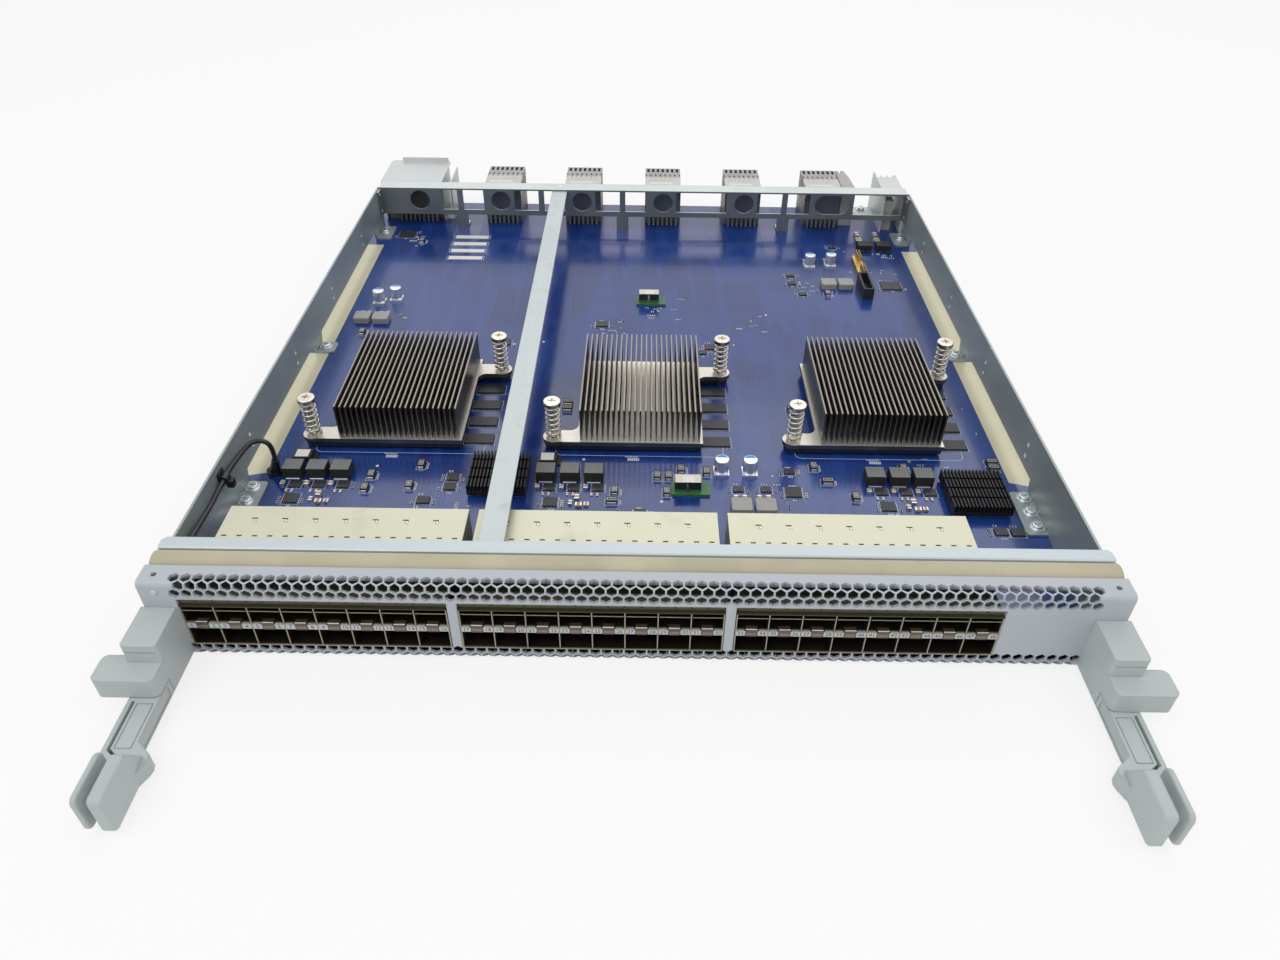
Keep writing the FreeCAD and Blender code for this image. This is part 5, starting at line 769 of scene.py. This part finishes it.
def port_details():
    """Number plates, latch tongues and bent catches between the rows of ports, with painted
    highlights along the shelf's top edges, the tongues' lips and over the upper ports.
    """
    bag = Bag("port_labels")
    numbers = []
    low, top = SHELF_LOW, SHELF_TOP
    for index in range(CAGES):
        for k in range(COLUMNS):
            x0 = cage_left(index) + PITCH * k
            for row, (left, right) in enumerate(NUMBER_PLATES):
                left, right = x0 + left, x0 + right
                bag.block(left, right, -0.22, 0.0, low + 0.15, top - 0.65, "plate")
                number = 2 * (index * COLUMNS + k) + row + 1
                numbers.append(digits(str(number), (left + right) / 2, -0.24,
                                      (low + top - 0.5) / 2))
                # painted highlight along the top edge of the shelf over each plate
                bag.block(left + 0.3, right - 0.4, -0.2, 0.5, top - 0.25, top + 0.1,
                          "shelf_highlight", 0.05)
            # latch tongue between the plates: its shelf, its front, its bright lip (a painted
            # highlight), its spring
            x = x0 + PITCH / 2
            for half, y0, y1, z0, z1, look, chamfer in (
                    (2.6, -0.15, 2.5, top - 0.05, top + 0.3, "cage_inside", 0.1),
                    (2.5, -0.26, 0.2, low - 0.2, top + 0.5, "cage_inside", 0.1),
                    (2.5, -0.30, 0.1, top + 0.5, top + 0.75, "nickel_highlight", 0.05),
                    (2.3, -0.32, 0.0, low + 0.6, low + 2.0, "spring_strip", 0.1)):
                bag.block(x - half, x + half, y0, y1, z0, z1, look, chamfer)
            # bright line over the mouth of the upper port, a painted highlight
            bag.block(x0 + 0.6, x0 + PITCH - 0.6, -0.12, 0.3, 21.0, 21.14, "shelf_highlight", 0.02)
    bag.done("label_white")
    join_meshes(numbers, "port_numbers", "ink_and_shade")


def cage_details():
    """Divider tabs along the front edge of each cage's top, and the catches in its windows, with
    painted highlights on them and painted shadows and shade beside them.
    """
    bag = Bag("cage_catches")
    lift = CAGE_TOP + 0.02
    for index in range(CAGES):
        x0 = cage_left(index)
        bag.sheet(x0 + 0.6, x0 + COLUMNS * PITCH - 0.6, 31.0, 31.2, CAGE_TOP + 0.015,
                  "spring_strip")
        for k in range(1, COLUMNS):
            x = x0 + PITCH * k
            for tab in (x - 4.2, x + 3.0):
                # each tab is drawn in the highlight nickel, a painted highlight
                bag.block(tab, tab + 2.6, 30.5, 31.5, CAGE_TOP - 0.1, CAGE_TOP + 0.28,
                          "nickel_highlight", 0.05)
                # painted shadows: dark sheets beside and behind each bright tab
                bag.sheet(tab - 0.9, tab, 30.9, 31.7, lift, "ink_and_shade")
                bag.sheet(tab, tab + 2.6, 31.5, 31.9, lift, "ink_and_shade")
            # painted shade: an L of dark sheets for the window beside each catch; the catch's top
            # is a painted highlight
            bag.sheet(x - 1.5, x + 1.3, 56.4, 56.75, lift, "ink_and_shade")
            bag.sheet(x - 0.1, x + 0.15, 54.2, 56.4, lift, "ink_and_shade")
            bag.sheet(x + 1.1, x + 1.3, 53.4, 56.4, lift, "spring_strip")
            bag.block(x + 0.15, x + 1.1, 54.6, 56.0, CAGE_TOP, CAGE_TOP + 0.12, "nickel_highlight", 0.04)
    bag.done("cage_nickel")


def lower_screen():
    """Ribbed black sheet inside the panel's lower fold, behind its row of holes, that stands for
    the shade seen through them.
    """
    bag = Bag("lower_screen")
    for k in range(56):
        x = -196.0 + 7.0 * k
        bag.block(x, x + 6.9, 1.7, 10.5, -5.88, -5.3, "black", 0.15)
    bag.done("chip_black")


# ---------------------------------------------------------------- board
SINKS = ("heat_sink_1", "heat_sink_2", "heat_sink_3")
OUTLINED = ("memory_chips", "logic_chips", "tantalum_capacitors")
BOARD_SOLIDS = OUTLINED + (
    "power_inductors", "flat_inductors", "capacitor_cans", "voltage_modules",
    "converter_boards", "power_transistors", "pin_header", "header_shroud", "chip_passives",
    "label_strips", "lead_plug", "board_screws")
FREE_FRONT, FREE_BACK, FREE_HALF = 67, 446, 196
PRINT = 0.03                                   # printed marks lie this far above the board
SMALL_PARTS = {"cap": (1.5, 0.85, "tan"), "resistor": (1.2, 0.65, "black")}
SMALL_ROOM = 0.3
SMALL_PITCH = 1.5
# fields with rows of small parts: left, right, front, back, number of rows
CLUSTERS = (
    (-196, -176, 86, 92, 3), (-96, -88, 84, 96, 2), (-12, 8, 78, 92, 3), (66, 80, 96, 124, 4),
    (130, 150, 74, 90, 5), (150, 178, 132, 140, 3), (190, 197, 122, 190, 3),
    (-186, -160, 284, 300, 6), (0, 28, 292, 322, 8), (48, 60, 246, 262, 4),
    (110, 140, 335, 352, 8), (150, 196, 340, 404, 14), (-192, -170, 402, 428, 8),
    (-36, -10, 268, 296, 6), (60, 84, 276, 300, 4),
)
GOLD_DOTS = ((-143, 128), (-30.4, 136.4), (12.4, 101.2), (64.4, 139.6), (150.4, 140.2),
             (-92.6, 141.0), (-58.0, 92.0), (-64.0, 262.0), (86.0, 302.0))
VIA_FIELDS = ((-130.5, -122.5, 84.0, 92.0, "silk"), (98.0, 116.0, 78.0, 90.0, "via"),
              (-112.0, -100.0, 96.0, 110.0, "via"))
FIELD_PITCH = 2.0
# bare copper along the board's edges: front, back, how much further back the inner corner starts
EDGE_STRIPS = ((117.5, 244.0, 3.4), (256.5, 404.5, 0.0))
EDGE_STRIP_INNER = 200.5


class BoardDress:
    """Small parts and printed marks on the places of the board that the solids leave free."""

    def __init__(self):
        self.parts, self.marks = Bag("board_parts"), Bag("board_print")
        self.taken = []
        for name in SINKS + ("pin_sink_left", "pin_sink_right"):
            self.reserve(*span(name), 1.0)
        for name in BOARD_SOLIDS:
            for low, high in islands(name):
                self.reserve(low, high, 0.5)

    def reserve(self, low, high, room):
        self.taken.append((low[0] - room, high[0] + room, low[1] - room, high[1] + room))

    def free(self, x0, x1, y0, y1):
        if y0 < FREE_FRONT or y1 > FREE_BACK or x0 < -FREE_HALF or x1 > FREE_HALF:
            return False
        return not any(x1 > a and x0 < b and y1 > c and y0 < d for a, b, c, d in self.taken)

    def small_part(self, x, y, turned, kind):
        length, width, look = SMALL_PARTS[kind]
        half, side, end = length / 2, width / 2, 0.28 * length

        def footprint(start, stop, reach):
            if turned:
                return x - reach, x + reach, y + start, y + stop
            return x + start, x + stop, y - reach, y + reach

        room = footprint(-half - SMALL_ROOM, half + SMALL_ROOM, side + SMALL_ROOM)
        if not self.free(*room):
            return
        self.taken.append(room)
        self.parts.block(*footprint(end - half, half - end, side - 0.03), 0, 0.5, look, 0.1)
        self.parts.block(*footprint(-half, end - half, side), 0, 0.52, "lead", 0.1)
        self.parts.block(*footprint(half - end, half, side), 0, 0.52, "lead", 0.1)

    def row(self, x, y, count, turned, kind):
        """Small parts side by side on one line."""
        for k in range(count):
            step = k * SMALL_PITCH
            self.small_part(x + (step if turned else 0), y + (0 if turned else step), turned,
                            kind)

    def outlines(self):
        seen = set()
        for name in OUTLINED:
            for low, high in islands(name):
                key = (round(low[0]), round(low[1]))
                if key not in seen:
                    seen.add(key)
                    self.marks.frame_line(low[0] - 0.9, high[0] + 0.9, low[1] - 0.9,
                                          high[1] + 0.9, PRINT, "silk")

    def round_solids(self):
        """Rows of small parts and ticks beside the larger packages."""
        for low, high in islands("logic_chips"):
            x = (low[0] + high[0]) / 2
            self.row(low[0] - 2.4, low[1] + 0.4, random.randint(2, 4), False, "resistor")
            self.row(high[0] + 2.4, low[1] + 0.4, random.randint(2, 4), False,
                     random.choice(("resistor", "cap")))
            if random.random() < 0.6:
                self.row(low[0] + 0.5, high[1] + 2.4, random.randint(2, 3), True, "resistor")
            if self.free(x - 2, x + 3, high[1] + 1.4, high[1] + 2.8):
                ticks(self.marks, x - 2, high[1] + 1.6, random.uniform(3.0, 5.0))
            if self.free(x - 2, x + 3, low[1] - 2.6, low[1] - 1.2):
                ticks(self.marks, x - 1, low[1] - 2.4, random.uniform(2.0, 4.0))
        for low, high in islands("tantalum_capacitors"):
            if self.free(high[0] + 1.1, high[0] + 2.3, low[1], high[1]):
                side_ticks(self.marks, high[0] + 1.2, low[1], high[1] - low[1])
        for name in ("power_inductors", "voltage_modules", "chip_passives"):
            for low, high in islands(name):
                if random.random() < 0.5 and self.free(low[0], high[0], high[1] + 0.7,
                                                       high[1] + 2.0):
                    ticks(self.marks, low[0], high[1] + 0.8, min(5.0, high[0] - low[0]))

    def clusters(self):
        for x0, x1, y0, y1, count in CLUSTERS:
            for _ in range(count):
                kind = random.choice(("cap", "resistor", "resistor"))
                turned = random.random() < 0.5
                self.row(random.uniform(x0, x1), random.uniform(y0, y1), random.randint(1, 4),
                         turned, kind)
        for x0, x1, y0, y1, count in CLUSTERS:
            for _ in range(count // 2 + 1):
                x, y = random.uniform(x0, x1), random.uniform(y0, y1)
                if self.free(x - 0.6, x + 4.4, y - 0.2, y + 1.2):
                    ticks(self.marks, x, y, random.uniform(2.0, 4.0))

    def sink_marks(self):
        """A rounded line and a blank bar code in front of each finned heat sink."""
        for name in SINKS:
            low, high = span(name)
            sink_outline(self.marks, low.x + 7.0, high.x - 7.5, low.y - 2.6, low.y + 16.0)
            x, y = (low.x + high.x) / 2 - 7.0, low.y - 6.8
            self.marks.sheet(x, x + 6.6, y, y + 2.4, PRINT, "silk")
            for k in range(6):
                bar = x + k * 1.15
                self.marks.sheet(bar, bar + 0.25, y - 0.1, y + 2.5, PRINT + 0.005, "gap")
            ticks(self.marks, x - 1.0, y + 3.0, 7.6)

    def pads(self):
        """Round marks, rows of pads in front of the memory chips, and fields of vias."""
        for x, y in GOLD_DOTS:
            if self.free(x - 1, x + 1, y - 1, y + 1):
                self.marks.disc(x, y, PRINT, 0.9, "cream", 16)
        for low, high in islands("memory_chips"):
            for y in (low[1] - 2.2, low[1] - 1.3):
                for k in range(int(high[0] - low[0])):
                    self.marks.sheet(low[0] + k, low[0] + k + 0.34, y, y + 0.34, PRINT, "silk")
        for x0, x1, y0, y1, look in VIA_FIELDS:
            for i in range(round((x1 - x0) / FIELD_PITCH)):
                for j in range(round((y1 - y0) / FIELD_PITCH)):
                    x, y = x0 + i * FIELD_PITCH, y0 + j * FIELD_PITCH
                    if self.free(x - 0.5, x + 0.5, y - 0.5, y + 0.5):
                        self.marks.disc(x, y, PRINT, 0.42, look, 8)

    def edge_strips(self):
        outer = span("circuit_board")[1].x - 0.3
        for side, face in ((-1, (3, 2, 1, 0)), (1, (0, 1, 2, 3))):
            for y0, y1, slope in EDGE_STRIPS:
                places = ((EDGE_STRIP_INNER, y0 + slope), (outer, y0), (outer, y1),
                          (EDGE_STRIP_INNER, y1))
                self.marks.add([(side * x, y, PRINT) for x, y in places], [face], "edge_strip")


def dress_board():
    dress = BoardDress()
    dress.outlines()
    dress.round_solids()
    dress.clusters()
    dress.sink_marks()
    dress.pads()
    dress.edge_strips()
    dress.parts.done("chip_black")
    dress.marks.done("label_white")


def islands(name):
    """Boxes of a node's separate solids, in the helper frame."""
    mesh = NODES[name].data
    parent = list(range(len(mesh.vertices)))

    def root(i):
        while parent[i] != i:
            parent[i] = parent[parent[i]]
            i = parent[i]
        return i

    places = {}
    for v in mesh.vertices:
        key = (round(v.co.x, 6), round(v.co.y, 6), round(v.co.z, 6))
        if key in places:
            parent[root(v.index)] = root(places[key])
        else:
            places[key] = v.index
    for e in mesh.edges:
        a, b = root(e.vertices[0]), root(e.vertices[1])
        if a != b:
            parent[a] = b
    boxes = {}
    for v in mesh.vertices:
        r = root(v.index)
        p = (v.co.x * 1000, (v.co.y - Y0) * 1000, (v.co.z - Z0) * 1000)
        low, high = boxes.setdefault(r, (list(p), list(p)))
        for i in range(3):
            low[i] = min(low[i], p[i])
            high[i] = max(high[i], p[i])
    return sorted(boxes.values(), key=lambda b: (b[0][0], b[0][1]))


def side_ticks(bag, x, y, height):
    """A column of small printed marks beside a part."""
    while height > 0.5:
        step = random.choice((0.6, 0.8, 1.0))
        bag.sheet(x, x + 0.9, y, y + step * 0.6, PRINT, "silk")
        y += step
        height -= step


def sink_outline(bag, x0, x1, y0, y1):
    """Printed line round the front of a heat sink, with rounded corners."""
    w, r = 0.3, 4.0
    bag.sheet(x0 + r, x1 - r, y0, y0 + w, PRINT, "silk")
    bag.sheet(x0, x0 + w, y0 + r, y1, PRINT, "silk")
    bag.sheet(x1 - w, x1, y0 + r, y1, PRINT, "silk")
    for x, start in ((x0 + r, math.pi), (x1 - r, 1.5 * math.pi)):
        points = []
        for k in range(7):
            a = start + k * math.pi / 12
            for reach in (r - w, r):
                points.append((x + reach * math.cos(a), y0 + r + reach * math.sin(a), PRINT))
        faces = [(2 * k, 2 * k + 1, 2 * k + 3, 2 * k + 2) for k in range(6)]
        bag.add(points, faces, "silk")


def ticks(bag, x, y, width):
    """A row of small printed marks, too short to read."""
    while width > 0.5:
        step = random.choice((0.5, 0.7, 0.9))
        bag.sheet(x, x + step * 0.6, y, y + 1.0, PRINT, "silk")
        x += step
        width -= step


LEAD_FOOT = (0.02, 0.35)
LEAD_HALF = 0.16
LARGEST_LEADED = 20


def lead_places(start, stop):
    """Middles of a package's leads, about a millimetre apart and three at least."""
    count = max(3, int(stop - start))
    return [start + (k + 0.5) * (stop - start) / count for k in range(count)]


def package_leads(bag):
    """Tinned leads of the flat packages, and the dot in the corner of each."""
    for name in ("memory_chips", "logic_chips"):
        for low, high in islands(name):
            if high[0] - low[0] > LARGEST_LEADED:
                continue
            for x in lead_places(low[0], high[0]):
                for y0, y1 in ((low[1] - 0.55, low[1] + 0.05), (high[1] - 0.05, high[1] + 0.55)):
                    bag.block(x - LEAD_HALF, x + LEAD_HALF, y0, y1, *LEAD_FOOT, "lead")
            if high[1] - low[1] > 5.2 and name == "logic_chips":
                for y in lead_places(low[1], high[1]):
                    for x0, x1 in ((low[0] - 0.5, low[0] + 0.05),
                                   (high[0] - 0.05, high[0] + 0.5)):
                        bag.block(x0, x1, y - LEAD_HALF, y + LEAD_HALF, *LEAD_FOOT, "lead")
            bag.disc(low[0] + 0.9, low[1] + 0.9, high[2] + 0.012, 0.28, "flat_top", 10)


def passive_ends(bag):
    """Tinned ends of the two-ended parts."""
    for low, high in islands("chip_passives"):
        axis = 1 if high[1] - low[1] > high[0] - low[0] else 0
        share = (high[axis] - low[axis]) * 0.24
        for near in (True, False):
            a, b = list(low), list(high)
            if near:
                b[axis] = a[axis] + share
            else:
                a[axis] = b[axis] - share
            bag.block(a[0] - 0.03, b[0] + 0.03, a[1] - 0.03, b[1] + 0.03, 0.01, high[2] + 0.03,
                      "lead", 0.1)


def chip_details():
    """Leads, tops and marks of the board's larger parts."""
    bag = Bag("package_leads")
    package_leads(bag)
    for (x0, y0, _), (x1, y1, top) in islands("power_inductors"):
        bag.block(x0 + 0.15, x1 - 0.15, y0 + 0.55, y1 - 0.55, top - 0.02, top + 0.06,
                  "ferrite_top", 0.05)
        bag.block(x0 + 1.4, x1 - 1.4, y0 - 0.15, y0 + 0.5, 0.0, 0.7, "lead", 0.1)
    for (x0, y0, _), (x1, y1, top) in islands("tantalum_capacitors"):
        third = (x1 - x0) * 0.3
        for a, b in ((y0 - 0.35, y0 + 0.12), (y1 - 0.12, y1 + 0.35)):
            bag.block(x0 + 0.35, x1 - 0.35, a, b, 0.0, top * 0.62, "lead", 0.1)
        bag.frame_line(x0 + 0.5, x1 - 0.5, y0 + 0.7, y1 - 0.9, top + 0.02, "label")
        bag.sheet(x0 + third, x1 - third, y0 + 1.5, y1 - 1.7, top + 0.02, "flat_top")
    passive_ends(bag)
    for (x0, y0, _), (x1, y1, _) in islands("label_strips"):
        bag.frame_line(x0 - 1.4, x1 + 1.4, y0 - 0.7, y1 + 0.7, PRINT, "label")
    for (x0, y0, _), (x1, y1, top) in islands("capacitor_cans"):
        bag.disc((x0 + x1) / 2, (y0 + y1) / 2, top + 0.02, 3.3, "can_mark", 20,
                 math.radians(15), math.radians(150))
    for (x0, y0, _), (_, y1, top) in islands("voltage_modules"):
        bag.block(x0 + 1.0, x0 + 8.2, y0 + 0.8, y1 - 0.8, top, top + 0.06, "label", 0.02)
    for (x0, y0, _), (x1, y1, top) in islands("converter_boards"):
        bag.block(x0 + 1.9, x1 - 4.9, y0 + 1.7, y1 - 2.3, top, top + 0.08, "cream", 0.02)
        bag.block(x0 + 6.0, x0 + 12.0, y0 + 2.0, y1 - 3.4, top + 0.08, top + 0.12, "label", 0.01)
    bag.done("chip_black")


# ---------------------------------------------------------------- rear connectors
def connector_details():
    """Dark sheets for the contact slots and holes on the rear connectors, painted dark as the
    shade inside them, and the blank label of each.
    """
    bag = Bag("connector_caps")
    for k in range(1, 6):
        low, high = span("backplane_connector_%d" % k)
        x0, x1, top = low.x, high.x, high.z
        bag.block(x0 + 3.6, x1 - 6.4, 458.2, 461.4, top, top + 0.08, "label", 0.02)
        for j in range(22):
            x = x0 + 2.0 + j * (x1 - x0 - 5.0) / 21
            for y in (465.6, 467.6):
                bag.sheet(x - 0.16, x + 0.16, y, y + 0.5, top + 0.02, "ink_and_shade")
        for j in range(8):
            bag.disc((x0 + x1) / 2 + (j - 3.5) * 3.9, 471.6, top + 0.02, 0.55, "ink_and_shade", 10)
    bag.done("connector_grey")


# ---------------------------------------------------------------- the lead
WALL_LINE = -205.6
LEAD_POINTS = [
    (WALL_LINE + 12.1, 118.6, 11.0),
    (WALL_LINE + 12.7, 118.0, 19.8),
    (WALL_LINE + 9.7, 117.4, 24.3),
    (WALL_LINE + 4.4, 115.2, 25.2),
    (WALL_LINE + 0.1, 111.0, 22.0),
    (WALL_LINE, 102.5, 22.8),
    (WALL_LINE - 0.1, 93.5, 24.0),
    (WALL_LINE, 79.5, 23.6),
    (WALL_LINE, 66.0, 22.6),
    (WALL_LINE + 0.4, 52.0, 24.0),
    (WALL_LINE + 1.2, 38.0, 25.4),
    (WALL_LINE + 2.3, 23.5, 27.7),
    (WALL_LINE + 2.6, 8.9, 28.7),
]
LEAD_DIAMETER = 0.0026


def make_lead():
    data = bpy.data.curves.new("indicator_sleeve", "CURVE")
    data.dimensions = "3D"
    data.bevel_depth = LEAD_DIAMETER / 2
    data.bevel_resolution = 4
    data.resolution_u = 12
    spline = data.splines.new("NURBS")
    spline.points.add(len(LEAD_POINTS) - 1)
    for point, place in zip(spline.points, LEAD_POINTS):
        point.co = (*at(*place), 1)
    spline.order_u = 3
    spline.use_endpoint_u = True
    sleeve = new_object("indicator_sleeve", data)
    data.materials.append(MATERIALS["sleeve"])
    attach(sleeve, "card")
    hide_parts("indicator_lead")


# ---------------------------------------------------------------- all together
make_camera()
make_world()
make_stage()
area_light("key", (-0.9, -1.0, 1.9), (0, 0, 0), (1.6, 1.2), 14)
area_light("fill", (1.2, -0.4, 1.6), (0, 0, 0), (1.6, 1.4), 7)
area_light("back", (0.2, 1.5, 1.5), (0, 0.1, 0), (2.2, 0.8), 6)
make_materials()
dress_nodes()
port_details()
cage_details()
lower_screen()
dress_board()
chip_details()
connector_details()
make_lead()

scene = bpy.context.scene
scene.view_settings.view_transform = "Standard"
bpy.context.view_layer.update()
